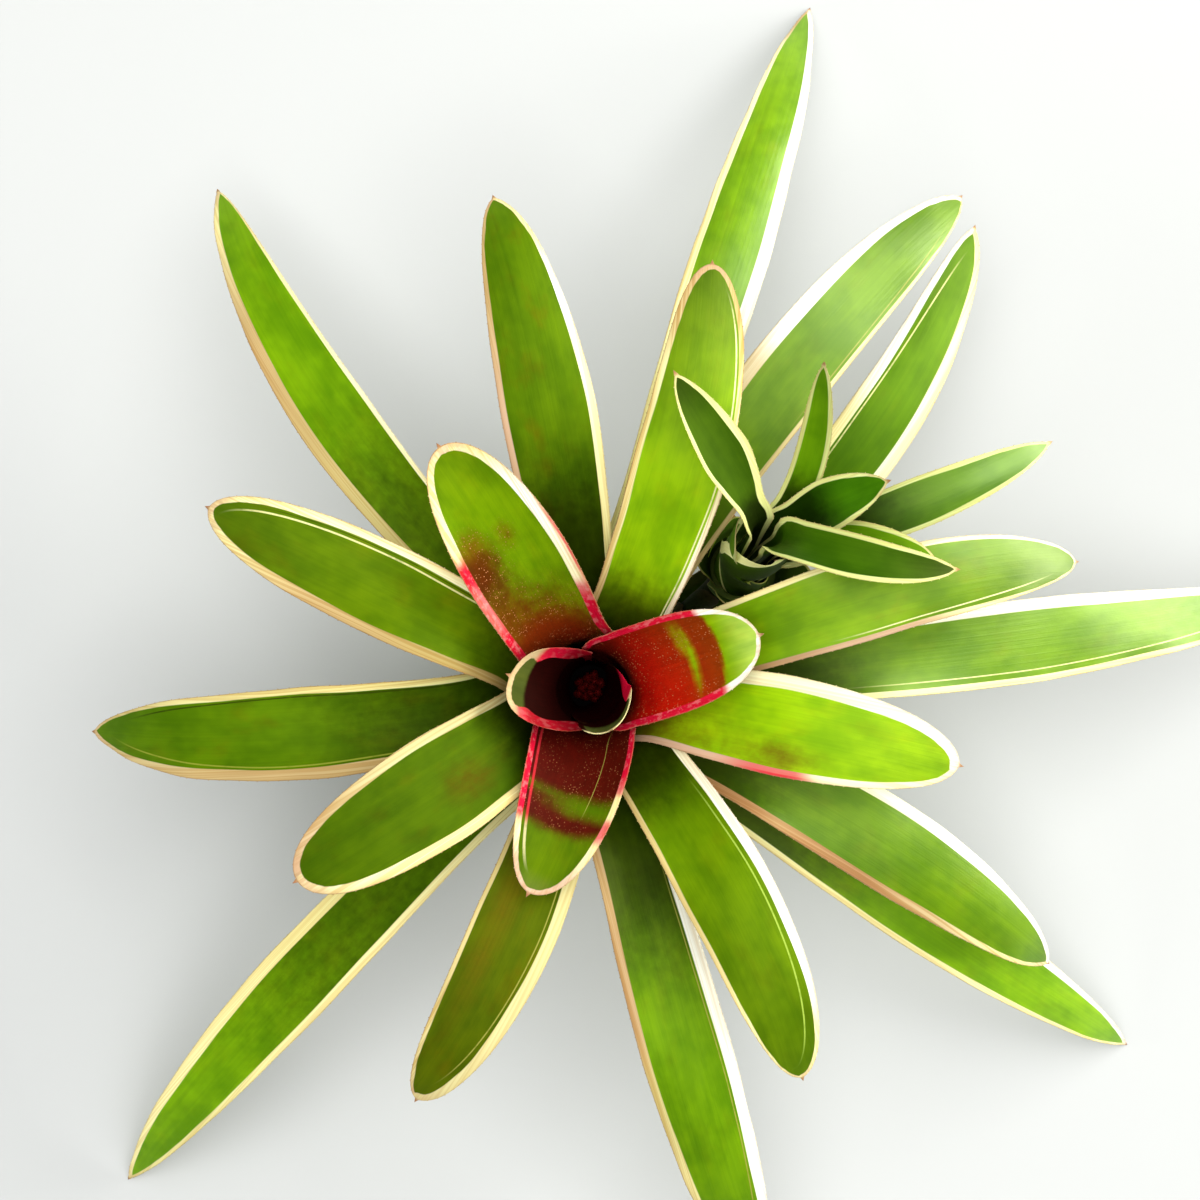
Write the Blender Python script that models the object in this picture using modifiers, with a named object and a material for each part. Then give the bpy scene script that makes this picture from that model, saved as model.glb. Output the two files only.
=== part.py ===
"""A neoregelia: one rosette of strap leaves about a central cup, with a small offset on its side.

The plant stands on the flat cut end of its stem, with its longest leaves touching down round it.  The
origin is on that surface, below the middle of the leaves' spread.  +Z runs up the stem, and bearings
are degrees from +X towards +Y about it.  Lengths are in millimetres until a mesh is made.

Every leaf is one strap in two stretches.  Its sheath starts on the stem, flares out and stands up in
a wall that wraps round the axis.  Its blade leaves that wall at the throat, arches over and ends in
the tip.  The leaves' places in the spiral are layers: layer 1 is the youngest and innermost, and each
next layer starts lower on the stem and wraps outside the ones before it.
"""
import math
from dataclasses import dataclass

import bmesh
import bpy
import numpy as np
from mathutils import Matrix, Vector

MM = 0.001
WELD = 1e-5                 # metres: points this near to each other are one point

PLANT_AXIS = (-43.3, -15.0)  # where the stem stands, so that the leaves' spread is centred

# Leaf blades
LEAF_THICKNESS = 0.8
OFFSET_LEAF_THICKNESS = 0.6
SEAT_GAP = 0.6              # from the stem's surface to the middle of a leaf's base
COLUMNS = 8                 # facets across a leaf
FLARE_ROWS = 2
WALL_ROWS = 1
BLADE_ROWS = 9
ROWS = FLARE_ROWS + WALL_ROWS + BLADE_ROWS
FLARE_SLOPE = 28.0          # degrees above level at which a sheath leaves the stem
BASE_WRAP = 1.9             # radians to each side that a leaf's base may wrap round the stem

# Stem of the rosette
STEM_TOP = 47.4
STEM_FOOT_RADIUS = 16.7
STEM_CUT_RADIUS = 15.6
STEM_SIDES = 32

# Bud cluster at the bottom of the cup
HEART_BOTTOM = 47.8
HEART_TOP = 60.0
HEART_RADIUS = 6.2

# Offset: a small rosette that leans away from the stem
OFFSET_FOOT = (66.0, 38.0, 56.0)     # distance from the axis, bearing, height
OFFSET_CROWN = (80.0, 41.0, 118.0)
STOLON_BEARING = 38.0
STOLON_RADIUS = 3.1
STOLON_STOPS = [             # distance from the axis, height and thickness of each point of its route
    (17.3, 10.3, STOLON_RADIUS),
    (20.5, 10.8, STOLON_RADIUS),
    (25.5, 13.8, STOLON_RADIUS),
    (31.0, 18.2, STOLON_RADIUS),
    (36.0, 25.0, STOLON_RADIUS),
    (39.2, 33.5, STOLON_RADIUS),
    (44.0, 42.0, STOLON_RADIUS),
    (51.0, 47.5, 3.4),
    (59.0, 51.0, 3.8),
]


@dataclass(frozen=True)
class Nest:
    """How one rosette's layers follow each other down its stem and out from its axis."""
    first_radius: float     # attachment of layer 1
    first_height: float
    radius_step: float
    height_step: float
    first_wall: float       # radius of layer 1's upright wall
    wall_step: float
    wall_lift: float        # height from attachment to wall, beyond the distance it moves out

    def layer(self, number):
        """Attachment radius and height, then the wall's radius and lowest height."""
        steps = number - 1
        radius = self.first_radius + self.radius_step * steps
        height = self.first_height - self.height_step * steps
        wall = self.first_wall + self.wall_step * steps
        return radius, height, wall, height + 1.05 * (wall - radius) + self.wall_lift


ROSETTE = Nest(5.2, 45.0, 0.52, 1.4, 10.0, 1.2, 2.0)
OFFSET = Nest(2.4, 16.0, 0.25, 1.3, 3.4, 0.95, 1.0)

# Outlines of a blade's outer stretch: where it starts to narrow, and two powers of its curve
ROUND = (0.35, 2.8, 0.50)
BLUNT = (0.38, 2.8, 0.55)
ACUTE = (0.40, 2.2, 0.65)
LONG = (0.36, 2.0, 0.72)


@dataclass
class Leaf:
    name: str
    layer: int
    bearing: float          # of the base
    sweep: float            # how far the tip swings round from that bearing
    reach: float            # the tip's distance from the axis
    throat: float           # height where the sheath becomes the blade
    tip: float              # the tip's height
    nod: float              # slope of the blade at its tip, negative downwards
    half_width: float       # widest, measured along the curve of the blade
    outline: tuple = LONG
    sweep_power: float = 1.6
    rise: float = 84.0      # slope at which the blade leaves the throat
    lean: float = 5.0       # of the wall, outwards
    trough: float = 28.0    # radius of the channel across the blade
    neck: float = 0.8       # width just past the throat, as a share of the widest
    leave: float = 0.25     # how stiffly the blade keeps its first slope
    arrive: float = 0.4     # and its last one
    place: tuple = None     # attachment and wall, where they aren't the nest's
    nest: Nest = ROSETTE

    @property
    def levels(self):
        return self.place or self.nest.layer(self.layer)

    @property
    def sheath_half_width(self):
        if self.nest is OFFSET:
            return 6.0 + 0.6 * self.layer
        return min(20.0 + 0.42 * self.layer, 30.0)


LEAVES = [
    Leaf("leaf_01", 1, 325, -25, 15, 98, 118, 86, 14, ROUND, 1, lean=2, trough=12, leave=0.3),
    Leaf("leaf_02", 2, 176, -8, 28, 98, 119, 20, 18, ROUND, 1, lean=2, trough=16, neck=1),
    Leaf("leaf_03", 3, 19, 0, 61, 96, 132, 15, 18.5, ROUND, lean=3, neck=0.92),
    Leaf("leaf_04", 4, 263, -10, 71, 88, 128, 5, 19.5, (0.2, 2.4, 0.52), 1, lean=3, neck=0.92),
    Leaf("leaf_05", 5, 118.5, 2.5, 96, 88, 160, 25, 20.5, ROUND),
    Leaf("leaf_06", 6, 351, -2, 128, 80, 130, -8, 19, BLUNT),
    Leaf("leaf_07", 7, 212.5, 0, 117, 84, 138, 2, 21, ROUND),
    Leaf("leaf_08", 8, 63, 11, 153, 76, 120, -22, 17, BLUNT, 1.1),
    Leaf("leaf_09", 9, 309, -10, 150, 80, 125, -30, 17, BLUNT, 1.2),
    Leaf("leaf_10", 10, 153, 1, 144, 78, 130, -25, 17.5, BLUNT),
    Leaf("leaf_11", 11, 20, -5, 174, 76, 112, -35, 15.5, BLUNT, 2.5),
    Leaf("leaf_12", 12, 256, -9, 153, 74, 112, -30, 16, BLUNT, 1.2),
    Leaf("leaf_13", 13, 97, 4, 175, 72, 105, -40, 18, ACUTE),
    Leaf("leaf_14", 14, 336, -7, 194, 70, 60, -50, 17.5, ACUTE, 1.2),
    Leaf("leaf_15", 15, 191, -6, 179, 68, 70, -45, 18, ACUTE, 1.2),
    Leaf("leaf_16", 16, 62, -9, 221, 60, 72, -40, 15.5, LONG, 1.2),
    Leaf("leaf_17", 17, 284.5, 1.5, 237, 64, 30, -55, 18),
    Leaf("leaf_18", 18, 138, -11, 230, 62, 35, -50, 15, LONG, 1.2),
    Leaf("leaf_19", 19, 6, 1, 267, 60, 25, -45, 16.5),
    Leaf("leaf_20", 20, 224, 3, 259, 58, 1.0, -50, 15.5),
    Leaf("leaf_21", 21, 72, 0, 271, 56, 1.0, -50, 15.5),
    Leaf("leaf_22", 22, 326, 0, 247, 54, 1.0, -50, 15),
    Leaf("leaf_23", 23, 33, 17, 221, 36, 40, -30, 14.5, LONG, 1, rise=30,
         place=(17.6, 4.2, 45.0, 33.0)),
]


def offset_leaf(number, *shape, **extra):
    """A leaf of the offset, whose bearings and heights are about the offset's own leaning axis."""
    settings = dict(sweep_power=1, lean=2, trough=14, nest=OFFSET)
    settings.update(extra)
    return Leaf("offset_leaf_%d" % number, number, *shape, **settings)


OFFSET_LEAVES = [
    offset_leaf(1, 326, 19, 61, 74, 95, -25, 8.5, rise=85, neck=0.65),
    offset_leaf(2, 134, -7, 60, 71, 101, 0, 10.5, rise=75, neck=0.55),
    offset_leaf(3, 28, -8, 37, 61, 101, 50, 10.5, rise=50),
    offset_leaf(4, 48, 30, 48, 59.4, 121, 72, 6, rise=51, neck=1),
    offset_leaf(5, 352, -3, 56, 57, 84, -15, 9.2, rise=64),
    offset_leaf(6, 350, 28, 101, 54, 84, -20, 10, rise=60, sweep_power=0.4),
    offset_leaf(7, 172, 0, 11.3, 54, 70, 84, 8.5),
    offset_leaf(8, 212, 62, 14, 42, 80, 82, 9, lean=3.5),
]

COLOURS = {
    "outer leaf": (0.10, 0.26, 0.02),
    "red leaf": (0.30, 0.02, 0.02),
    "offset leaf": (0.04, 0.17, 0.01),
    "stem": (0.24, 0.17, 0.08),
    "heart": (0.08, 0.01, 0.015),
}
FIRST_GREEN_LAYER = 6       # the younger leaves, inside this layer, are flushed red


def polar(radius, bearing, height):
    angle = math.radians(bearing)
    return Vector((radius * math.cos(angle), radius * math.sin(angle), height))


def smooth(value, low, high):
    """0 below low, 1 above high, and an even S between them."""
    share = np.clip((value - low) / (high - low), 0.0, 1.0)
    return share * share * (3.0 - 2.0 * share)


def bezier(points, steps):
    """A cubic curve through its first and last points, sampled at equal steps of its parameter."""
    t = np.linspace(0.0, 1.0, steps + 1)[:, None]
    a, b, c, d = (np.array(point) for point in points)
    return (1 - t) ** 3 * a + 3 * (1 - t) ** 2 * t * b + 3 * (1 - t) * t * t * c + t ** 3 * d


def unit(vectors):
    return vectors / np.linalg.norm(vectors, axis=1)[:, None]


def slope(degrees):
    return np.array((math.cos(math.radians(degrees)), math.sin(math.radians(degrees))))


def side_line(leaf):
    """The leaf's middle line as radius and height, and how far along each point is.

    That place runs from -2 at the base to -1 where the wall starts, 0 at the throat and 1 at the tip.
    """
    base_radius, base_height, wall_radius, wall_height = leaf.levels
    lean = math.tan(math.radians(leaf.lean))
    base = np.array((base_radius, base_height))
    wall = np.array((wall_radius, wall_height))
    throat = wall + (leaf.throat - wall_height) * np.array((lean, 1.0))
    tip = np.array((leaf.reach, leaf.tip))
    spread = 0.62 * (wall_radius - base_radius)
    drop = 0.45 * (wall_height - base_height)
    flare = bezier((base, base + spread * slope(FLARE_SLOPE), wall - drop * np.array((lean, 1.0)), wall),
                   FLARE_ROWS)
    upright = np.linspace(wall, throat, WALL_ROWS + 1)
    chord = np.linalg.norm(tip - throat)
    blade = bezier((throat, throat + leaf.leave * chord * slope(leaf.rise),
                    tip - leaf.arrive * chord * slope(leaf.nod), tip), BLADE_ROWS)
    run = np.concatenate(([0.0], np.cumsum(np.linalg.norm(np.diff(blade, axis=0), axis=1))))
    along = np.concatenate((np.linspace(-2, -1, FLARE_ROWS + 1), np.linspace(-1, 0, WALL_ROWS + 1)[1:],
                            run[1:] / run[-1]))
    return np.concatenate((flare, upright[1:], blade[1:])), along


def half_width(leaf, along, base_radius):
    """Half the leaf's width at each place: broad at the sheath, waisted at the neck, then the blade."""
    widest, sheath = leaf.half_width, leaf.sheath_half_width
    neck = leaf.neck * widest
    stops = np.array((-2.0, -1.0, -0.35, 0.06, 0.16, 0.35, 0.55, 1.0))
    widths = np.array((min(BASE_WRAP * base_radius, 0.8 * sheath), sheath, 0.93 * sheath, 1.15 * neck,
                       neck, (neck + widest) / 2, widest, widest))
    stop = np.clip(np.searchsorted(stops, along, side="right") - 1, 0, len(stops) - 2)
    share = smooth(along, stops[stop], stops[stop + 1])
    width = widths[stop] * (1 - share) + widths[stop + 1] * share
    start, fall, point = leaf.outline
    outer = np.clip((along - start) / (1 - start), 0.0, 1.0)
    return width * (1 - outer ** fall) ** point


def leaf_points(leaf):
    """The leaf's middle surface, as rows from base to tip and columns from its right margin to its left.

    Across the sheath a row is an arc about the axis.  Past the throat it opens out into a shallow
    channel that faces the blade's upper side.
    """
    line, along = side_line(leaf)
    radius, height = line.T
    throat_radius = radius[FLARE_ROWS + WALL_ROWS]
    outward = np.clip((radius - throat_radius) / (leaf.reach - throat_radius), 0.0, None)
    bearing = np.radians(leaf.bearing + leaf.sweep * outward ** leaf.sweep_power)
    level = np.zeros_like(bearing)
    middle = np.stack((radius * np.cos(bearing), radius * np.sin(bearing), height), axis=-1)
    inward = np.stack((-np.cos(bearing), -np.sin(bearing), level), axis=-1)
    round_axis = np.stack((-np.sin(bearing), np.cos(bearing), level), axis=-1)
    forward = unit(np.gradient(middle, axis=0))
    across = unit(round_axis - np.sum(round_axis * forward, axis=1)[:, None] * forward)
    upper = np.cross(forward, across)
    opened = smooth(along, 0.0, 0.22)
    facing = unit(inward * (1 - opened[:, None]) + upper * opened[:, None])
    bend = (1 - opened) / radius + opened / leaf.trough
    half = half_width(leaf, along, radius[0])
    turn = bend[:, None] * half[:, None] * np.linspace(-1, 1, COLUMNS + 1)
    sideways = (np.sin(turn) / bend[:, None])[..., None] * across[:, None]
    lifted = ((1 - np.cos(turn)) / bend[:, None])[..., None] * facing[:, None]
    return middle[:, None] + sideways + lifted


def material(name):
    made = bpy.data.materials.get(name)
    if made is None:
        made = bpy.data.materials.new(name)
        made.use_nodes = True
        shader = made.node_tree.nodes["Principled BSDF"]
        shader.inputs["Base Color"].default_value = (*COLOURS[name], 1.0)
        shader.inputs["Roughness"].default_value = 0.8 if name == "stem" else 0.38
        shader.inputs["Metallic"].default_value = 0.0
    return made


def add_object(name, data, colour):
    piece = bpy.data.objects.new(name, data)
    piece.location = (PLANT_AXIS[0] * MM, PLANT_AXIS[1] * MM, 0.0)
    data.materials.append(material(colour))
    collection.objects.link(piece)
    return piece


def add_leaf(leaf, thickness, frame, colour):
    """A flat grid bent into the leaf's surface, closed to a point at the tip and given its thickness."""
    points = leaf_points(leaf)
    mesh = bpy.data.meshes.new(leaf.name)
    grid = bmesh.new()
    bmesh.ops.create_grid(grid, x_segments=ROWS, y_segments=COLUMNS, size=0.5)
    for vert in grid.verts:
        row = round((vert.co.x + 0.5) * ROWS)
        column = round((vert.co.y + 0.5) * COLUMNS)
        vert.co = frame @ Vector(points[row, column] * MM)
    bmesh.ops.remove_doubles(grid, verts=grid.verts, dist=WELD)
    grid.to_mesh(mesh)
    grid.free()
    mesh.shade_smooth()
    piece = add_object(leaf.name, mesh, colour)
    solidify = piece.modifiers.new("Thickness", "SOLIDIFY")
    solidify.thickness = thickness * MM
    solidify.offset = 0.0
    return piece


def add_turned(name, profile, colour):
    """A solid of revolution from its profile, given from the top of the axis down to its bottom."""
    mesh = bpy.data.meshes.new(name)
    mesh.from_pydata([(radius * MM, 0.0, height * MM) for radius, height in profile],
                     [(i, i + 1) for i in range(len(profile) - 1)], [])
    piece = add_object(name, mesh, colour)
    screw = piece.modifiers.new("Turn", "SCREW")
    screw.steps = screw.render_steps = STEM_SIDES
    screw.use_merge_vertices = True
    screw.merge_threshold = WELD
    return piece


def stem_radius(height):
    """The stem's surface is just inside the line of the leaves' attachments."""
    nest = ROSETTE
    steps = (nest.first_height - height) / nest.height_step
    return min(nest.first_radius + nest.radius_step * steps - SEAT_GAP, STEM_FOOT_RADIUS)


def add_stem():
    neck = ROSETTE.first_height + 1.0
    foot = 12.0
    profile = [(0.0, STEM_TOP), (0.75 * stem_radius(neck), STEM_TOP), (stem_radius(neck), neck),
               (stem_radius(30.0), 30.0), (stem_radius(foot), foot), (STEM_FOOT_RADIUS, 2.0),
               (STEM_CUT_RADIUS, 0.0), (0.0, 0.0)]
    add_turned("stem", profile, "stem")


def add_heart():
    """The bud cluster is a dome with a rounded underside, sitting on the top of the stem."""
    height = HEART_TOP - HEART_BOTTOM
    dome = [(HEART_RADIUS * math.sin(a), HEART_BOTTOM + height * (0.5 + 0.5 * math.cos(a)))
            for a in np.linspace(0.0, 0.75 * math.pi, 7)]
    add_turned("heart", dome + [(3.4, HEART_BOTTOM), (0.0, HEART_BOTTOM)], "heart")


def offset_frame():
    """Turns the offset's own frame, which stands on its foot with +Z up its axis, into the plant's."""
    foot, crown = polar(*OFFSET_FOOT), polar(*OFFSET_CROWN)
    turn = Vector((0.0, 0.0, 1.0)).rotation_difference(crown - foot)
    return Matrix.Translation(foot * MM) @ turn.to_matrix().to_4x4()


def add_offset_stem(frame):
    """The stolon leaves the stem, runs out between two sheaths, turns up and carries the offset's leaves."""
    route = [(polar(radius, STOLON_BEARING, height) * MM, thick * MM)
             for radius, height, thick in STOLON_STOPS]
    nest = OFFSET
    for number in (8, 5, 1):
        radius, height = nest.layer(number)[:2]
        route.append((frame @ Vector((0.0, 0.0, height * MM)), (radius - SEAT_GAP) * MM))
    curve = bpy.data.curves.new("offset_stem", "CURVE")
    curve.dimensions = "3D"
    curve.bevel_depth = 1.0
    curve.bevel_resolution = 3
    curve.use_fill_caps = True
    spline = curve.splines.new("POLY")
    spline.points.add(len(route) - 1)
    for point, (place, thick) in zip(spline.points, route):
        point.co = (*place, 1.0)
        point.radius = thick
    add_object("offset_stem", curve, "stem")


for old in list(bpy.data.objects):
    bpy.data.objects.remove(old, do_unlink=True)
collection = bpy.data.collections.new("neoregelia")
bpy.context.scene.collection.children.link(collection)

add_stem()
add_heart()
for strap in LEAVES:
    flushed = strap.layer < FIRST_GREEN_LAYER
    add_leaf(strap, LEAF_THICKNESS, Matrix.Identity(4), "red leaf" if flushed else "outer leaf")
offset_axes = offset_frame()
add_offset_stem(offset_axes)
for strap in OFFSET_LEAVES:
    add_leaf(strap, OFFSET_LEAF_THICKNESS, offset_axes, "offset leaf")
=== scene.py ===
"""A neoregelia rosette with its offset: the finished leaves, stem, stolon and bud cluster.

Lengths are in millimetres about the stem's axis until a mesh is made, bearings are degrees from +X
towards +Y, and +Z runs up the stem.  A place on a leaf is given by two numbers.  `along` runs from -2
at the base to -1 where the upright wall starts, 0 at the throat and 1 at the tip.  `across` runs from
-1 at the right margin to 1 at the left margin, seen from above with the tip pointing away.
"""
import math
from dataclasses import dataclass

import bpy
import numpy as np
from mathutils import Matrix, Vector


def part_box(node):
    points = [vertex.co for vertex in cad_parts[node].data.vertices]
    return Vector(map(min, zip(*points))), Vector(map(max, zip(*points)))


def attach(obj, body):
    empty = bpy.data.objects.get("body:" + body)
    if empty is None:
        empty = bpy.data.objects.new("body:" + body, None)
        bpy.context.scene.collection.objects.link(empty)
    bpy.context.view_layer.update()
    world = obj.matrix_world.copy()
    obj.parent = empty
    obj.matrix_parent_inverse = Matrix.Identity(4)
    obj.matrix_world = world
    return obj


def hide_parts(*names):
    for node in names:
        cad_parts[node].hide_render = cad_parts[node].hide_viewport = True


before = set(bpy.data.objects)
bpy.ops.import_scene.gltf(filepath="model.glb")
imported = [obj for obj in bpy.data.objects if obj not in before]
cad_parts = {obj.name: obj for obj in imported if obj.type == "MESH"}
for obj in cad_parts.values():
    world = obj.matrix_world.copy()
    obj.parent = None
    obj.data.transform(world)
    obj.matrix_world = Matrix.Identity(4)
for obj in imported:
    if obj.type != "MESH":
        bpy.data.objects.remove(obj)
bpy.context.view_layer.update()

MM = 0.001
LOW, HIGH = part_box("stem")
AXIS = np.array(((LOW.x + HIGH.x) / 2, (LOW.y + HIGH.y) / 2, 0.0)) / MM   # of the main rosette

# How finely a leaf is cut
FLARE_ROWS = 14
WALL_ROWS = 14
THROAT_ROW = FLARE_ROWS + WALL_ROWS
ROW_PITCH = 1.3             # of the blade, on average
ROW_CROWDING = 1.35         # more than 1 crowds the blade's rows towards its tip
CURVE_STEPS = 400           # of the line that the rows are then read from
RING = 44                   # points round a leaf's section, most of them near its margins

# Sizes that all the leaves share
LEAF_THICKNESS = 0.85
OFFSET_LEAF_THICKNESS = 0.65
THIN_TIP = 0.55             # thickness at the tip, as a share
FLOOR_CLEARANCE = 0.15
FLARE_SLOPE = 28.0
FLARE_PULL = 0.62           # how far from the base that slope holds, as a share of the flare's breadth
WALL_PULL = 0.45            # how far below the wall its lean holds, as a share of the flare's height
BASE_WRAP = 1.9             # half the base's width, as a multiple of its distance from the axis
SECTION_POWER = 0.6         # less than 1 makes a section blunt at its margins
LEAST_BEND = 0.0001         # of a section, which is never quite flat
TIP_PULL = 0.4              # how far back from the tip its slope holds, as a share of the blade's span
UNROLLED = (0.0, 0.22)      # where the blade leaves the wall's curve
OPENED = (0.22, 0.62)       # where an old blade opens out
WAVED = (0.12, 0.45)        # where its waves grow, and
CALM_TIP = (0.93, 1.0)      # where they die away
WAVE_LENGTHS = (55.0, 75.0)
LIP_DROP = 0.45             # how far a curled margin sinks, as a share of its reach
SPINE_LENGTH = 1.8          # of the point that ends a leaf
SPINE_RADIUS = 0.75
SPINE_POINT = 0.02          # half its width at its very end
SPINE_STEPS = (0.15, 0.4, 0.7, 1.0)
TOOTH_PITCH = 3.6           # between the small teeth of a margin
TOOTH_SCATTER = 0.22        # how far one strays from its even place, as a share of the pitch
TOOTH_SIZES = (0.75, 1.1)
TOOTH_SEEDS = 500           # apart from the seeds of the waves
TOOTH_REACH = 0.36
TOOTH_FOOT = 0.28           # half its length along the margin
TOOTH_DEPTH = 0.14          # half its height
TOOTH_ROOT = 0.15           # how deep it sits in the margin
TOOTH_HOOK = 0.9            # how far its point leans towards the tip, as a share of its foot
TOOTHLESS_ROWS = 7          # at the tip, with the spine's
FAR_AWAY = 99.0             # the distance to a line that a leaf doesn't have
LEAF_SHIFT = 37.0           # how far apart two leaves read the noises of their skin


# ---------------------------------------------------------------- shapes shared by all the leaves

def smooth(value, low, high):
    """0 below low, 1 above high, and an even S between them."""
    share = np.clip((value - low) / (high - low), 0.0, 1.0)
    return share * share * (3.0 - 2.0 * share)


def unit(vectors):
    return vectors / np.linalg.norm(vectors, axis=-1, keepdims=True)


def squared_off(vectors, way):
    """The vectors without their part along the given unit ways, made unit length."""
    return unit(vectors - np.sum(vectors * way, axis=1)[:, None] * way)


def run_along(line):
    """The distance of each point of a line from its first point, measured along it."""
    return np.concatenate(([0.0], np.cumsum(np.linalg.norm(np.diff(line, axis=0), axis=1))))


def slope(degrees):
    return np.array((math.cos(math.radians(degrees)), math.sin(math.radians(degrees))))


def polar(radius, bearing, height):
    angle = math.radians(bearing)
    return np.array((radius * math.cos(angle), radius * math.sin(angle), height))


def bezier(points, steps):
    """A cubic curve through its first and last points, sampled at equal steps of its parameter."""
    t = np.linspace(0.0, 1.0, steps + 1)[:, None]
    a, b, c, d = (np.array(point) for point in points)
    return (1 - t) ** 3 * a + 3 * (1 - t) ** 2 * t * b + 3 * (1 - t) * t * t * c + t ** 3 * d


@dataclass(frozen=True)
class Nest:
    """How one rosette's layers follow each other down its stem and out from its axis."""
    first_radius: float
    first_height: float
    radius_step: float
    height_step: float
    first_wall: float
    wall_step: float
    wall_lift: float

    def layer(self, number):
        """Attachment radius and height, then the wall's radius and lowest height."""
        steps = number - 1
        radius = self.first_radius + self.radius_step * steps
        height = self.first_height - self.height_step * steps
        wall = self.first_wall + self.wall_step * steps
        return radius, height, wall, height + 1.05 * (wall - radius) + self.wall_lift


ROSETTE = Nest(5.2, 45.0, 0.52, 1.4, 10.0, 1.2, 2.0)
OFFSET = Nest(2.4, 16.0, 0.25, 1.3, 3.4, 0.95, 1.0)
OFFSET_FOOT = polar(66.0, 38.0, 56.0)
OFFSET_CROWN = polar(80.0, 41.0, 118.0)
OFFSET_AXIS = Vector(OFFSET_CROWN - OFFSET_FOOT)
OFFSET_TURN = np.array(Vector((0, 0, 1)).rotation_difference(OFFSET_AXIS).to_matrix())  # +Z to that axis

# Outlines of a blade's outer stretch: where it starts to narrow, and two powers of its curve
ROUND = (0.35, 2.8, 0.50)
BLUNT = (0.38, 2.8, 0.55)
ACUTE = (0.40, 2.2, 0.65)
LONG = (0.36, 2.0, 0.72)

# Tapers of a margin: where it starts and stops narrowing, and the share of its width that is left
SLIM = (0.62, 0.98, 0.42)
FULL = (0.80, 1.0, 0.95)
BROAD = (0.68, 1.0, 0.68)

# Tints of the margins
WHITE = (0.97, 0.96, 0.86)
# A yellower white, given to white margins where they lie in shade: in part painted shade.
IVORY = (0.97, 0.92, 0.58)
CREAM = (0.92, 0.85, 0.42)
BUTTER = (0.84, 0.78, 0.34)
MOSS = (0.54, 0.50, 0.25)
HUSK = (0.56, 0.44, 0.22)
TAN = (0.54, 0.39, 0.18)
BUFF = (0.41, 0.31, 0.12)
CLAY = (0.44, 0.235, 0.11)
COPPER = (0.60, 0.40, 0.27)
SAND = (0.60, 0.44, 0.30)
CRIMSON = (0.64, 0.005, 0.038)
RUBY = (0.32, 0.003, 0.013)
ROSE = (0.66, 0.14, 0.14)
PALE_LEAF = (0.62, 0.70, 0.27)
# A lighter copy of PALE_LEAF for offset rims that lie in shade: partly painted light.
SAP = (0.76, 0.84, 0.34)
OLIVE_LINE = (0.30, 0.28, 0.05)
SHADED = (0.020, 0.024, 0.006)

# Greens of the blade
DEEP = (0.105, 0.215, 0.0015)
LEAF = (0.135, 0.265, 0.0015)
FRESH = (0.180, 0.330, 0.0015)
LIME = (0.290, 0.520, 0.002)
OLIVE = (0.120, 0.170, 0.0015)
SHOOT = (0.055, 0.155, 0.002)

# Reds that flush the young leaves
EMBER = (0.46, 0.022, 0.002)
BRICK = (0.24, 0.022, 0.002)
MAROON = (0.11, 0.006, 0.002)
WINE = (0.016, 0.0008, 0.0008)
RUST = (0.24, 0.085, 0.003)

PIGMENT = 0.77              # how much of their tints' brightness the greens and reds of every leaf keep


@dataclass
class Edge:
    """One margin: its width at the blade's middle, and its tints as (along, tint) pairs."""
    width: float
    tints: tuple
    outline: float              # how brown the very edge is
    taper: tuple


def edge(width, *tints, outline=0.5, taper=SLIM):
    """A margin with (along, tint) pairs, or with tints that are spaced evenly from the throat to the tip."""
    if len(tints[0]) == 3:
        tints = tuple(zip(np.linspace(0.0, 1.0, len(tints)), tints))
    return Edge(width, tints, outline, taper)


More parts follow.
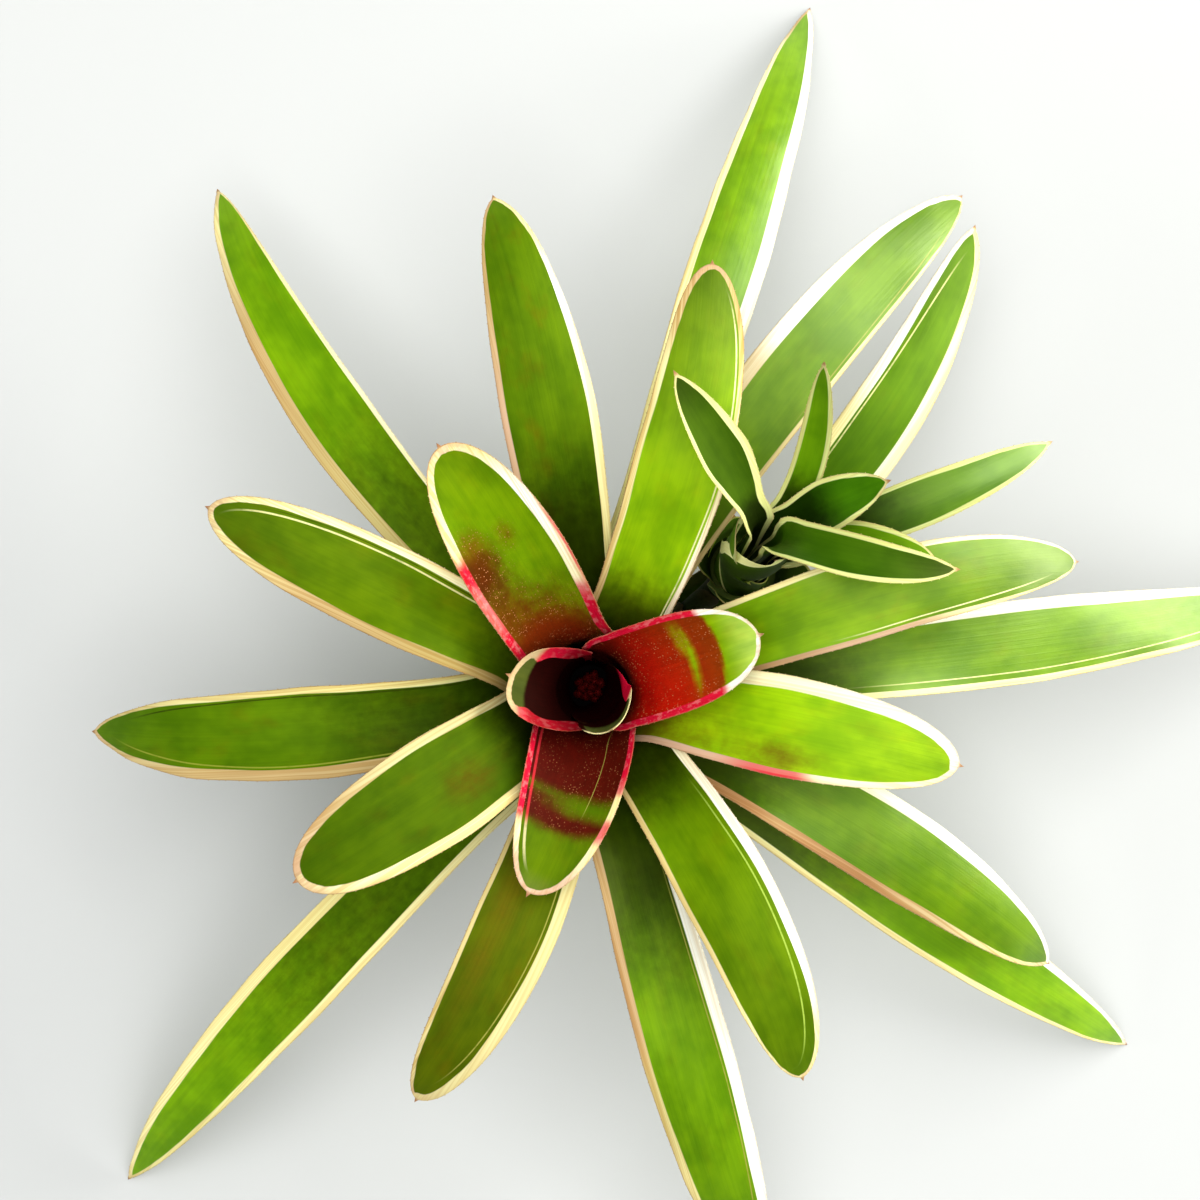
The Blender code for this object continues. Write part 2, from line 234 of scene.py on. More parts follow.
@dataclass
class Leaf:
    """One leaf.  The first eight numbers shape it, and the rest refine its shape or colour it."""
    layer: int                  # 1 is the innermost
    bearing: float
    sweep: float                # how far it has turned from that bearing at its tip
    reach: float                # of its tip, from the axis
    throat: float               # heights of the throat and the tip
    tip: float
    nod: float                  # the slope of the blade at its tip
    half_width: float
    outline: tuple = LONG
    sweep_power: float = 1.6
    rise: float = 84.0          # the slope of the blade at its throat
    lean: float = 5.0           # of the wall, away from the axis
    trough: float = 28.0        # the radius of the blade's hollow
    neck: float = 0.8           # width of the neck, as a share of the widest place
    leave: float = 0.25         # how far from the throat its slope holds, as a share of the blade's span
    place: tuple = None         # instead of its layer's place
    nest: Nest = ROSETTE
    green: tuple = LEAF
    light: float = 1.0          # how much lighter its green is than that tint, partly its own tone and partly painted light and shade, set leaf by leaf
    left: Edge = None
    right: Edge = None
    lines: tuple = ()           # (side, distance inside that margin's edge, start, end, half its width, tint)
    flush: tuple = ()           # (middle along, middle across, reach along, reach across, softness, amount)
    flush_end: float = -3.0     # where the red of a young leaf gives way to green
    flush_bow: float = 0.03
    flush_soft: float = 0.02
    windows: tuple = ()         # green patches left in the red, written as a flush is
    reds: tuple = ((0.0, BRICK),)
    left_reds: tuple = ()       # the reds of its left half, where they differ
    dusk: float = 0.4           # how far out from the throat the painted shade reaches
    gloom: float = 0.9          # how dark that painted shade is
    rust: float = 0.25          # how much the green is mottled with rust
    scurf: float = 0.0          # how thick the pale flecks lie
    pale_tip: tuple = ()        # (where it starts, its tint): darker than its green on most leaves, partly painted shade
    wave: float = 1.0
    rough: float = 0.42         # of its skin
    frost: float = 0.0          # how thickly its margins are frosted
    hollow: float = -0.4        # the share of its trough that is left where it opens out, arched if negative
    lip: tuple = ()             # (side, breadth, stops of (along, reach)): a margin that curls outwards
    gloss: str = "satin"        # which finish its skin has

    @property
    def name(self):
        return ("offset_leaf_%d" if self.nest is OFFSET else "leaf_%02d") % self.layer

    @property
    def levels(self):
        return self.place or self.nest.layer(self.layer)

    @property
    def sheath_half_width(self):
        if self.nest is OFFSET:
            return 6.0 + 0.6 * self.layer
        return min(20.0 + 0.42 * self.layer, 30.0)


LEAVES = [
    Leaf(1, 325, -25, 15, 98, 118, 86, 14, ROUND, 1, lean=2, trough=12, leave=0.3, green=(0.15, 0.19, 0.04),
         left=edge(5.0, (-0.08, WINE), (0.04, CRIMSON), (0.50, CRIMSON), (0.58, CREAM), outline=0.0,
                   taper=(0.42, 0.66, 0.35)), right=edge(2.0, (0.80, WINE), (0.88, CREAM), outline=0.0),
         flush_end=0.60, flush_soft=0.05, reds=((0.0, WINE), (0.4, WINE)), wave=0.1, hollow=1.0,
         gloss="velvet",
         lip=(1, 6.5,
              ((-2.0, 0.0), (-0.4, 0.0), (0.04, 0.9), (0.25, 1.7), (0.48, 2.0), (0.70, 1.2), (0.95, 0.0),
               (1.1, 0.0))), rough=0.6),
    Leaf(2, 176, -8, 28, 98, 119, 20, 18, ROUND, 1, lean=2, trough=16, neck=1, green=(0.090, 0.115, 0.018),
         left=edge(5.4, (0.1, RUBY), (0.7, RUBY), (0.8, CRIMSON), (0.88, HUSK), outline=0.2,
                   taper=(0.68, 0.88, 0.30)),
         right=edge(6.0, (0.0, RUBY), (0.45, CRIMSON), (0.74, CRIMSON), (0.8, HUSK), outline=0.2,
                    taper=(0.68, 0.88, 0.30)), flush_end=0.76, reds=((0.0, WINE), (0.5, WINE)), wave=0.1,
         hollow=1.0, gloss="velvet", frost=0.08, rough=0.7),
    Leaf(3, 19, 0, 61, 96, 132, 15, 18.5, (0.35, 2.8, 0.56), lean=3, neck=1.0, green=LIME, light=0.9,
         pale_tip=(0.76, (0.46, 0.62, 0.10)),
         left=edge(2.6, (0.1, CRIMSON), (0.70, CRIMSON), (0.73, WHITE)),
         right=edge(3.0, (0.1, CRIMSON), (0.72, CRIMSON), (0.77, WHITE)), flush_end=0.765, flush_bow=0.04,
         flush_soft=0.014,
         windows=((0.585, -0.10, 0.018, 0.50, 1.0, 0.80), (0.545, 0.45, 0.030, 0.25, 1.0, 0.40)),
         reds=((0.04, MAROON), (0.20, (0.56, 0.005, 0.002)), (0.46, (0.62, 0.007, 0.002)), (0.58, EMBER),
               (0.74, (0.32, 0.035, 0.002))),
         left_reds=((0.08, MAROON), (0.28, (0.30, 0.008, 0.002)), (0.52, (0.28, 0.025, 0.002)),
                    (0.70, (0.26, 0.030, 0.002))), scurf=0.8, wave=0.1, hollow=0.9, gloss="dull",
         frost=0.2),
    Leaf(4, 263, -10, 71, 88, 128, 5, 19.5, (0.2, 2.4, 0.52), 1, lean=3, neck=1.0, green=FRESH, light=0.6,
         pale_tip=(0.88, (0.11, 0.16, 0.02)),
         left=edge(2.4, (0.36, CRIMSON), (0.44, ROSE), (0.48, CREAM), (0.56, CREAM), (0.60, ROSE),
                   (0.66, ROSE), (0.72, CREAM), (0.9, SAND), taper=BROAD),
         right=edge(2.2, (0.66, CRIMSON), (0.74, CREAM), (0.9, SAND), taper=BROAD),
         lines=((-1, 3.9, 0.0, 0.93, 0.55, ((0.66, (0.50, 0.02, 0.03)), (0.74, (0.56, 0.50, 0.24)))),
                (1, 10.5, 0.05, 0.62, 0.16, OLIVE_LINE)), flush_end=0.70, flush_bow=0.05, flush_soft=0.04,
         windows=((0.545, 0.55, 0.045, 0.75, 0.9, 1.0), (0.50, -0.45, 0.022, 0.6, 1.0, 0.6)),
         reds=((0.1, (0.085, 0.003, 0.002)), (0.6, (0.085, 0.004, 0.002))),
         left_reds=((0.1, (0.10, 0.006, 0.002)), (0.6, (0.09, 0.006, 0.002))), scurf=0.45, wave=0.15,
         hollow=0.7, gloss="velvet", frost=0.2, rough=0.62),
    Leaf(5, 118.5, 2.5, 96, 88, 160, 25, 20.5, ROUND, neck=0.86, green=FRESH,
         left=edge(3.6, (0.1, CRIMSON), (0.30, CRIMSON), (0.38, ROSE), (0.50, ROSE), (0.58, CRIMSON),
                   (0.62, CRIMSON), (0.69, CREAM), outline=0.9, taper=BROAD),
         right=edge(4.2, (0.16, CRIMSON), (0.28, CRIMSON), (0.34, ROSE), (0.40, IVORY), (0.72, WHITE),
                    (0.95, CREAM), outline=0.9, taper=BROAD), lines=((-1, 0.1, 0.36, 0.72, 1.0, CRIMSON),),
         flush=((0.10, 0.3, 0.27, 1.3, 0.55, 1.0), (0.38, 0.75, 0.14, 0.5, 1.0, 0.9),
                (0.57, 0.72, 0.12, 0.46, 0.7, 1.0), (0.64, -0.12, 0.04, 0.13, 1.0, 0.6)),
         reds=((0.08, (0.18, 0.013, 0.002)), (0.22, (0.22, 0.026, 0.003)), (0.38, (0.17, 0.034, 0.002)),
               (0.52, (0.12, 0.018, 0.002)), (0.60, (0.13, 0.024, 0.002)), (0.68, (0.22, 0.065, 0.003))),
         scurf=1.5, pale_tip=(0.70, (0.115, 0.20, 0.002)), dusk=0.2, gloom=0.7, wave=0.4, hollow=0.6,
         gloss="dull", frost=0.22),
    Leaf(6, 351, -2, 128, 80, 130, -8, 19, BLUNT, green=LIME, light=1.25,
         left=edge(5.0, CREAM, IVORY, WHITE, taper=BROAD),
         right=edge(2.7, (0.1, (0.60, 0.40, 0.26)), (0.34, (0.62, 0.40, 0.28)), (0.48, ROSE), (0.58, ROSE),
                    (0.66, IVORY), taper=BROAD), lines=((-1, 0.5, 0.44, 0.66, 0.6, CRIMSON),),
         flush=((0.10, -0.4, 0.22, 0.7, 1.0, 0.5), (0.52, -0.62, 0.1, 0.25, 1.0, 0.45)),
         reds=((0.0, RUST), (1.0, RUST)), rust=0.3, dusk=0.25, gloom=0.8, wave=0.6,
         pale_tip=(0.60, (0.20, 0.36, 0.003)), hollow=-0.2),
    Leaf(7, 212.5, 0, 117, 84, 138, 2, 21, ROUND, light=0.52,
         left=edge(3.9, (0.58, 0.54, 0.30), CREAM, (0.70, 0.64, 0.36), outline=0.8, taper=BROAD),
         right=edge(3.4, MOSS, MOSS, (0.52, 0.38, 0.22), outline=0.8, taper=BROAD),
         flush=((0.42, 0.15, 0.07, 0.3, 1.0, 0.45),), reds=((0.0, (0.13, 0.05, 0.002)),), rust=0.5,
         dusk=0.34, wave=0.8, hollow=-0.1, gloss="dull", rough=0.75),
    Leaf(8, 63.4, 10.6, 153, 76, 120, -22, 17.6, ROUND, 1.1, green=LIME, light=1.2,
         left=edge(2.3, (0.1, TAN), (0.45, CREAM), (0.7, CREAM), (0.9, HUSK), outline=1.0, taper=FULL),
         right=edge(1.9, (0.2, WHITE), (0.7, CREAM), (0.92, TAN), outline=1.0, taper=FULL),
         lines=((-1, 2.8, 0.1, 0.95, 0.3, CREAM),), dusk=0.33, wave=0.8, hollow=-0.65,
         pale_tip=(0.46, (0.075, 0.14, 0.002))),
    Leaf(9, 309, -10, 150, 80, 125, -30, 17, BLUNT, 1.2, green=FRESH, light=0.83,
         left=edge(3.4, (0.1, IVORY), (0.4, WHITE), (0.75, WHITE), (0.9, CREAM)),
         right=edge(1.9, BUFF, CREAM), lines=((1, 5.3, 0.3, 0.98, 0.3, (0.36, 0.50, 0.07)),), dusk=0.38,
         wave=0.8, pale_tip=(0.5, (0.085, 0.155, 0.002)), hollow=-0.5, gloss="dull"),
    Leaf(10, 153, 1, 144, 78, 130, -25, 17.5, BLUNT, green=(0.155, 0.268, 0.0015), light=0.98,
         left=edge(3.6, BUFF, BUFF, TAN, CREAM, outline=0.8, taper=BROAD),
         right=edge(3.1, CREAM, IVORY, CREAM, outline=0.8, taper=BROAD),
         lines=((-1, 5.0, 0.25, 0.97, 0.35, BUTTER), (-1, 3.7, 0.2, 0.9, 0.25, (0.03, 0.05, 0.001))),
         rust=0.4, dusk=0.36, gloom=0.5, pale_tip=(0.45, (0.070, 0.130, 0.002)), hollow=-0.6, gloss="dull",
         rough=0.6),
    Leaf(11, 20, -5, 174, 76, 112, -35, 15.5, BLUNT, 2.5, green=FRESH, light=1.5,
         left=edge(2.2, CREAM, CREAM, WHITE), right=edge(1.8, (0.1, CLAY), (0.6, COPPER), (0.8, CREAM)),
         lines=((-1, 3.1, 0.5, 0.95, 0.25, CREAM),), rust=0.4, dusk=0.12, wave=0.8,
         pale_tip=(0.46, (0.09, 0.17, 0.002)), hollow=-0.5, gloss="waxy", rough=0.36),
    Leaf(12, 256, -9, 153, 74, 112, -30, 16, BLUNT, 1.2, green=OLIVE, light=0.75,
         left=edge(4.3, (0.64, 0.57, 0.27), outline=0.4, taper=BROAD),
         right=edge(1.7, (0.56, 0.48, 0.22), (0.64, 0.56, 0.27), outline=0.8, taper=BROAD),
         flush=((0.38, -0.42, 0.30, 0.28, 0.9, 0.55),), reds=((0.0, (0.19, 0.125, 0.003)),),
         lines=((1, 5.6, 0.3, 0.95, 0.25, OLIVE_LINE),), rust=0.6, wave=0.8, dusk=0.5, hollow=-0.2,
         gloss="dull", rough=0.6),
    Leaf(13, 97, 4, 175, 72, 105, -40, 18, ACUTE, light=0.82,
         left=edge(2.3, (0.2, CLAY), (0.5, COPPER), (0.8, TAN)),
         right=edge(3.0, (0.2, BUTTER), (0.4, CREAM), (0.6, IVORY), (0.75, WHITE), (0.9, CREAM)), rust=0.9,
         dusk=0.56, wave=0.8, hollow=-0.5, gloss="dull", rough=0.55),
    Leaf(14, 336, -7, 194, 70, 60, -50, 17.5, ACUTE, 1.2, light=1.2,
         left=edge(4.0, (0.22, CREAM), (0.40, IVORY), (0.65, WHITE), outline=0.3),
         right=edge(3.4, (0.0, CLAY), (0.52, CLAY), (0.70, (0.64, 0.50, 0.26)), (0.84, CREAM), outline=0.9),
         dusk=0.42, hollow=-0.5, gloss="waxy", rough=0.34),
    Leaf(15, 191, -6, 179, 68, 70, -45, 18, ACUTE, 1.2, green=DEEP, light=1.05,
         left=edge(4.2, TAN, TAN, (0.62, 0.50, 0.24), outline=0.7),
         right=edge(2.5, BUTTER, (0.66, 0.60, 0.28), outline=0.8),
         lines=((1, 5.3, 0.15, 0.95, 0.3, (0.26, 0.29, 0.03)),
                (-1, 3.4, 0.1, 0.92, 0.3, (0.02, 0.03, 0.001))), rust=0.5, dusk=0.6, gloom=0.6, wave=1.8,
         hollow=-0.6, gloss="dull", rough=0.6),
    Leaf(16, 62, -9, 221, 60, 72, -40, 15.5, (0.45, 2.6, 0.60), 1.2, light=1.15,
         left=edge(5.2, (0.43, (0.50, 0.33, 0.19)), (0.52, (0.66, 0.54, 0.34)), (0.62, WHITE)),
         right=edge(1.6, TAN, CREAM), lines=((-1, 2.6, 0.5, 0.95, 0.25, OLIVE_LINE),), hollow=-0.1,
         gloss="waxy", rough=0.36),
    Leaf(17, 284.5, 1.5, 237, 64, 30, -55, 18, green=DEEP, light=1.6, left=edge(4.4, WHITE),
         right=edge(3.2, (0.3, (0.42, 0.27, 0.15)), (0.42, (0.46, 0.31, 0.17)), (0.54, (0.66, 0.58, 0.25)),
                    (0.9, CREAM), outline=0.8), lines=((1, 5.3, 0.2, 0.95, 0.25, OLIVE_LINE),), wave=1.2,
         dusk=0.46, hollow=-0.6, rough=0.36),
    Leaf(18, 138, -11, 230, 62, 35, -50, 15, LONG, 1.2, green=DEEP, light=1.95,
         left=edge(4.4, (0.50, 0.40, 0.17), (0.53, 0.44, 0.19), TAN, CREAM, outline=0.7),
         right=edge(1.5, IVORY, CREAM), dusk=0.6, gloom=0.7, wave=1.2, hollow=-0.1, gloss="dull",
         rough=0.55),
    Leaf(19, 6, 1, 267, 60, 25, -45, 16.5, light=1.35, left=edge(4.2, WHITE), right=edge(2.4, CREAM),
         lines=((-1, 4.6, 0.3, 0.95, 0.25, BUTTER),), wave=1.2, gloom=0.95, dusk=0.38, gloss="waxy",
         rough=0.34),
    Leaf(20, 224, 3, 259, 58, 1.0, -50, 15.5, green=DEEP, light=2.1, left=edge(2.8, CREAM, BUTTER),
         right=edge(4.4, BUTTER, CREAM), gloom=0.7, dusk=0.75, hollow=-0.3, gloss="dull", rough=0.6),
    Leaf(21, 72, 0, 271, 56, 1.0, -50, 15.5, light=1.65,
         left=edge(2.8, (0.2, BUTTER), (0.5, CREAM), (0.85, IVORY), (0.97, TAN)), right=edge(4.8, WHITE),
         hollow=-0.8, neck=0.74, gloss="waxy", rough=0.34),
    Leaf(22, 326, 0, 247, 54, 1.0, -50, 15, light=1.9, left=edge(3.4, WHITE), right=edge(2.2, CREAM),
         dusk=0.5, hollow=-0.2, gloss="waxy", rough=0.36),
    Leaf(23, 33, 17, 221, 36, 40, -30, 14.5, (0.40, 2.2, 0.64), 1, rise=30, place=(17.6, 4.2, 45.0, 33.0),
         green=(0.115, 0.28, 0.0015), light=0.92,
         left=edge(4.0, (0.38, SHADED), (0.48, CREAM), (0.7, WHITE)), right=edge(4.4, WHITE, CREAM),
         lines=((1, 5.0, 0.4, 0.95, 0.3, BUTTER),), dusk=0.45, pale_tip=(0.5, (0.085, 0.20, 0.0015)),
         rough=0.45),
]


def offset_leaf(*shape, **extra):
    """A leaf of the offset, whose bearings and heights are about the offset's own leaning axis."""
    settings = dict(sweep_power=1, hollow=0.7, lean=2, trough=14, nest=OFFSET, green=SHOOT, wave=0.2,
                    rust=0.0, gloss="dull", left=edge(1.7, PALE_LEAF), right=edge(1.7, PALE_LEAF))
    settings.update(extra)
    return Leaf(*shape, **settings)


OFFSET_LEAVES = [
    offset_leaf(1, 326, 19, 61, 74, 95, -25, 8.5, rise=85, neck=0.95, green=(0.048, 0.132, 0.002),
                dusk=0.22, gloom=0.3, pale_tip=(0.5, (0.010, 0.027, 0.001))),
    offset_leaf(2, 134, -7, 60, 71, 101, 0, 10.5, rise=75, neck=0.55, green=(0.047, 0.112, 0.002),
                rough=0.7, left=edge(1.7, SAP), right=edge(2.5, SAP), dusk=0.3,
                pale_tip=(0.7, (0.020, 0.045, 0.001))),
    offset_leaf(3, 28, -8, 37, 61, 101, 50, 10.5, rise=50, green=(0.058, 0.20, 0.002), dusk=0.7,
                left=edge(1.7, SAP), right=edge(1.8, SAP)),
    offset_leaf(4, 48, 30, 48, 59.4, 121, 72, 6, rise=51, neck=1, green=(0.15, 0.34, 0.003)),
    offset_leaf(5, 352, -3, 56, 57, 84, -15, 9.2, rise=64, green=(0.14, 0.31, 0.003)),
    offset_leaf(6, 350, 28, 101, 54, 84, -20, 10, rise=60, sweep_power=0.4, green=(0.12, 0.26, 0.01),
                dusk=0.6, rough=0.34, gloss="waxy"),
    offset_leaf(7, 172, 0, 11.3, 54, 70, 84, 8.5, neck=1, green=(0.18, 0.36, 0.01), gloom=0.0, rough=0.6,
                left=edge(2.4, PALE_LEAF), right=edge(2.4, PALE_LEAF)),
    # Offset leaf 8's green is painted near black by a flush over all but its cream right margin: painted
    # shade.
    offset_leaf(8, 212, 62, 10.5, 42, 80, 82, 9, neck=1, lean=3.5, green=(0.16, 0.34, 0.002), gloom=0.2,
                rough=0.6, wave=0.1, flush=((0.2, 0.45, 2.0, 1.0, 0.5, 1.0),),
                reds=((0.0, (0.010, 0.016, 0.001)),), left=edge(0.8, (0.16, 0.26, 0.03)),
                right=edge(4.0, (0.96, 0.95, 0.42), outline=0.0, taper=(0.75, 1.0, 0.5))),
]


def scale(*shape, green=(0.020, 0.040, 0.003), **extra):
    """A short broad leaf round the foot of the offset, outside all the others, its near-black green painted
    shade.
    """
    rim = edge(0.8, tuple(5 * tint for tint in green))
    return offset_leaf(*shape, neck=1, green=green, left=rim, right=rim, rough=0.7, **extra)


# Near-black leaves that darken the ground round the offset's foot: their darkness is painted shade.
SCALES = [
    scale(9, 158, 0, 19, 14, 24, 45, 9.5, lean=12, gloom=0.5),
    scale(10, 112, 0, 15, 24, 36, 60, 8, lean=5, gloom=0.3, green=(0.07, 0.15, 0.006)),
    scale(11, 262, 0, 19, 18, 30, 60, 10, lean=8, gloom=0.5),
    scale(12, 340, 0, 28, 14, 20, 20, 10, lean=12, gloom=0.6),
]


def side_line(leaf):
    """The leaf's middle line as radius and height, and how far along each point is.

    It is a flaring cubic curve, a straight leaning wall and an arching cubic curve.  The rows of the
    blade crowd together towards its tip, where the outline turns.
    """
    base_radius, base_height, wall_radius, wall_height = leaf.levels
    upwards = np.array((math.tan(math.radians(leaf.lean)), 1.0))
    base = np.array((base_radius, base_height))
    wall = np.array((wall_radius, wall_height))
    throat = wall + (leaf.throat - wall_height) * upwards
    tip = np.array((leaf.reach, leaf.tip))
    spread = FLARE_PULL * (wall_radius - base_radius)
    drop = WALL_PULL * (wall_height - base_height)
    flare = bezier((base, base + spread * slope(FLARE_SLOPE), wall - drop * upwards, wall), FLARE_ROWS)
    upright = np.linspace(wall, throat, WALL_ROWS + 1)
    span = np.linalg.norm(tip - throat)
    arch = bezier((throat, throat + leaf.leave * span * slope(leaf.rise),
                   tip - TIP_PULL * span * slope(leaf.nod), tip), CURVE_STEPS)
    run = run_along(arch)
    length = run[-1]
    rows = int(math.ceil(length / ROW_PITCH))
    share = 1.0 - (1.0 - np.linspace(0.0, 1.0, rows + 1)) ** ROW_CROWDING
    blade = np.stack([np.interp(share * length, run, arch[:, i]) for i in (0, 1)], axis=1)
    line = np.concatenate((flare, upright[1:], blade[1:]))
    along = np.concatenate((np.linspace(-2, -1, FLARE_ROWS + 1), np.linspace(-1, 0, WALL_ROWS + 1)[1:],
                            share[1:]))
    return line, along, length


def half_width(leaf, along, base_radius):
    """Half the leaf's width at each place: broad at the sheath, waisted at the neck, then the blade."""
    widest, sheath = leaf.half_width, leaf.sheath_half_width
    neck = leaf.neck * widest
    stops = np.array((-2.0, -1.0, -0.35, 0.06, 0.16, 0.35, 0.55, 1.0))
    widths = np.array((min(BASE_WRAP * base_radius, 0.8 * sheath), sheath, 0.93 * sheath, 1.15 * neck,
                       neck, (neck + widest) / 2, widest, widest))
    width = through(stops, widths, along)
    start, fall, point = leaf.outline
    outer = np.clip((along - start) / (1 - start), 0.0, 1.0)
    return width * (1 - outer ** fall) ** point


def through(stops, values, place):
    """A smooth curve through the stops that doesn't overshoot them.

    Each stretch is a cubic whose slopes at its ends are harmonic means of the neighbouring rises.
    """
    gap = np.diff(stops)
    rise = np.diff(values) / gap
    product = rise[:-1] * rise[1:]
    total = np.where(product > 0, rise[:-1] + rise[1:], 1.0)
    slopes = np.concatenate(([rise[0]], np.where(product > 0, 2 * product / total, 0.0), [rise[-1]]))
    stop = np.clip(np.searchsorted(stops, place, side="right") - 1, 0, len(gap) - 1)
    t = np.clip((place - stops[stop]) / gap[stop], 0.0, 1.0)
    return (values[stop] * (1 + 2 * t) * (1 - t) ** 2 + gap[stop] * slopes[stop] * t * (1 - t) ** 2
            + values[stop + 1] * t * t * (3 - 2 * t) - gap[stop] * slopes[stop + 1] * t * t * (1 - t))


def distance_to(points, line, block=2000):
    """The shortest distance from each point to a line of short straight stretches, in the flat.

    The points are taken in blocks, so that the table of points against stretches stays small.
    """
    start, step = line[:-1], np.diff(line, axis=0)
    reach = np.maximum(np.sum(step * step, axis=1), 1e-12)
    best = np.full(len(points), np.inf)
    for first in range(0, len(points), block):
        part = points[first:first + block, None] - start
        share = np.clip(np.sum(part * step, axis=2) / reach, 0.0, 1.0)
        off = part - share[..., None] * step
        best[first:first + block] = np.sqrt(np.min(np.sum(off * off, axis=2), axis=1))
    return best


def tints_at(stops, along):
    """A colour for each place, blended between the stops by an even S."""
    places = np.array([stop[0] for stop in stops])
    colours = np.array([stop[1] for stop in stops])
    if len(stops) == 1:
        return np.repeat(colours, len(along), axis=0)
    at = np.clip(np.searchsorted(places, along, side="right") - 1, 0, len(places) - 2)
    share = smooth(along, places[at], places[at + 1])[:, None]
    return colours[at] * (1 - share) + colours[at + 1] * share


def patches(list_of_patches, along, across):
    """How strongly each place lies in any of the soft oval patches, from 0 to 1."""
    clear = np.ones_like(along)
    for middle, side, reach, breadth, soft, amount in list_of_patches:
        off = np.hypot((along - middle) / reach, (across - side) / breadth)
        clear *= 1.0 - amount * (1.0 - smooth(off, 1.0 - soft, 1.0 + soft))
    return 1.0 - clear


def strap(middle, across_way, facing, bend, half, thick, ring=RING):
    """The closed surface of a strap, as rows of points round its section and the outward side of each.

    Round the section an angle runs from the left margin over the upper side to the right margin and
    back under.  Its cosine places a point across the strap, along an arc of the given bend, and its
    sine to a small power gives the distance above or below the arc.
    """
    angle = np.linspace(0.0, 2.0 * np.pi, ring, endpoint=False)
    place = np.cos(angle)
    depth = np.sign(np.sin(angle)) * np.abs(np.sin(angle)) ** SECTION_POWER
    turn = bend[:, None] * half[:, None] * place
    sideways = np.sin(turn) / bend[:, None]
    lifted = (1 - np.cos(turn)) / bend[:, None]
    normal = -np.sin(turn)[..., None] * across_way[:, None] + np.cos(turn)[..., None] * facing[:, None]
    points = (middle[:, None] + sideways[..., None] * across_way[:, None]
              + lifted[..., None] * facing[:, None] + (0.5 * thick[:, None] * depth)[..., None] * normal)
    return points, normal, place, depth


def with_ends(rows_of_points):
    """The points of a strap's or tube's rows as one list, then the middles of its first and last row."""
    ends = np.stack((rows_of_points[0].mean(axis=0), rows_of_points[-1].mean(axis=0)))
    return np.concatenate((rows_of_points.reshape(-1, 3), ends))


def closed_faces(rows, ring, flip=False):
    """Quads between neighbouring rows, then fans that close the first row and the last, facing outwards.

    A row runs anticlockwise when it is seen from the last row, or clockwise with flip.
    """
    row, spot = np.meshgrid(np.arange(rows - 1), np.arange(ring), indexing="ij")
    here = row * ring + spot
    beside = row * ring + (spot + 1) % ring
    quads = np.stack((here, beside, beside + ring, here + ring), axis=-1).reshape(-1, 4)
    spots = np.arange(ring)
    after = (spots + 1) % ring
    last = (rows - 1) * ring
    first_fan = np.stack((np.full(ring, rows * ring), after, spots), axis=-1)
    last_fan = np.stack((last + spots, last + after, np.full(ring, rows * ring + 1)), axis=-1)
    if flip:
        return quads[:, (0, 3, 2, 1)], np.concatenate((first_fan[:, (0, 2, 1)], last_fan[:, (1, 0, 2)]))
    return quads, np.concatenate((first_fan, last_fan))


def opened_out(half, bend, share):
    """A section bent by only a share of its bend, yet just as wide when seen from above.

    Returns its half width, its bend, and the rise of its middle for which its margins sink by as much.
    """
    chord = np.sin(bend * half) / bend
    sag = (1 - np.cos(bend * half)) / bend
    flatter = bend * share
    flatter = np.where(np.abs(flatter) < LEAST_BEND, LEAST_BEND, flatter)
    half = np.arcsin(flatter * chord) / flatter
    return half, flatter, 0.5 * (sag - (1 - np.cos(flatter * half)) / flatter)


@dataclass
class Course:
    """A leaf's middle line with its spine, and what is known at each of its points."""
    middle: np.ndarray
    along: np.ndarray
    run: np.ndarray             # distance from the base
    tip_run: float              # that of the blade's end, where the spine starts
    across_way: np.ndarray
    facing: np.ndarray          # towards the hollow side
    bend: np.ndarray
    rise: np.ndarray            # of the middle, as the blade opens out
    half: np.ndarray
    blade_half: np.ndarray      # the same without the spine
    thick: np.ndarray


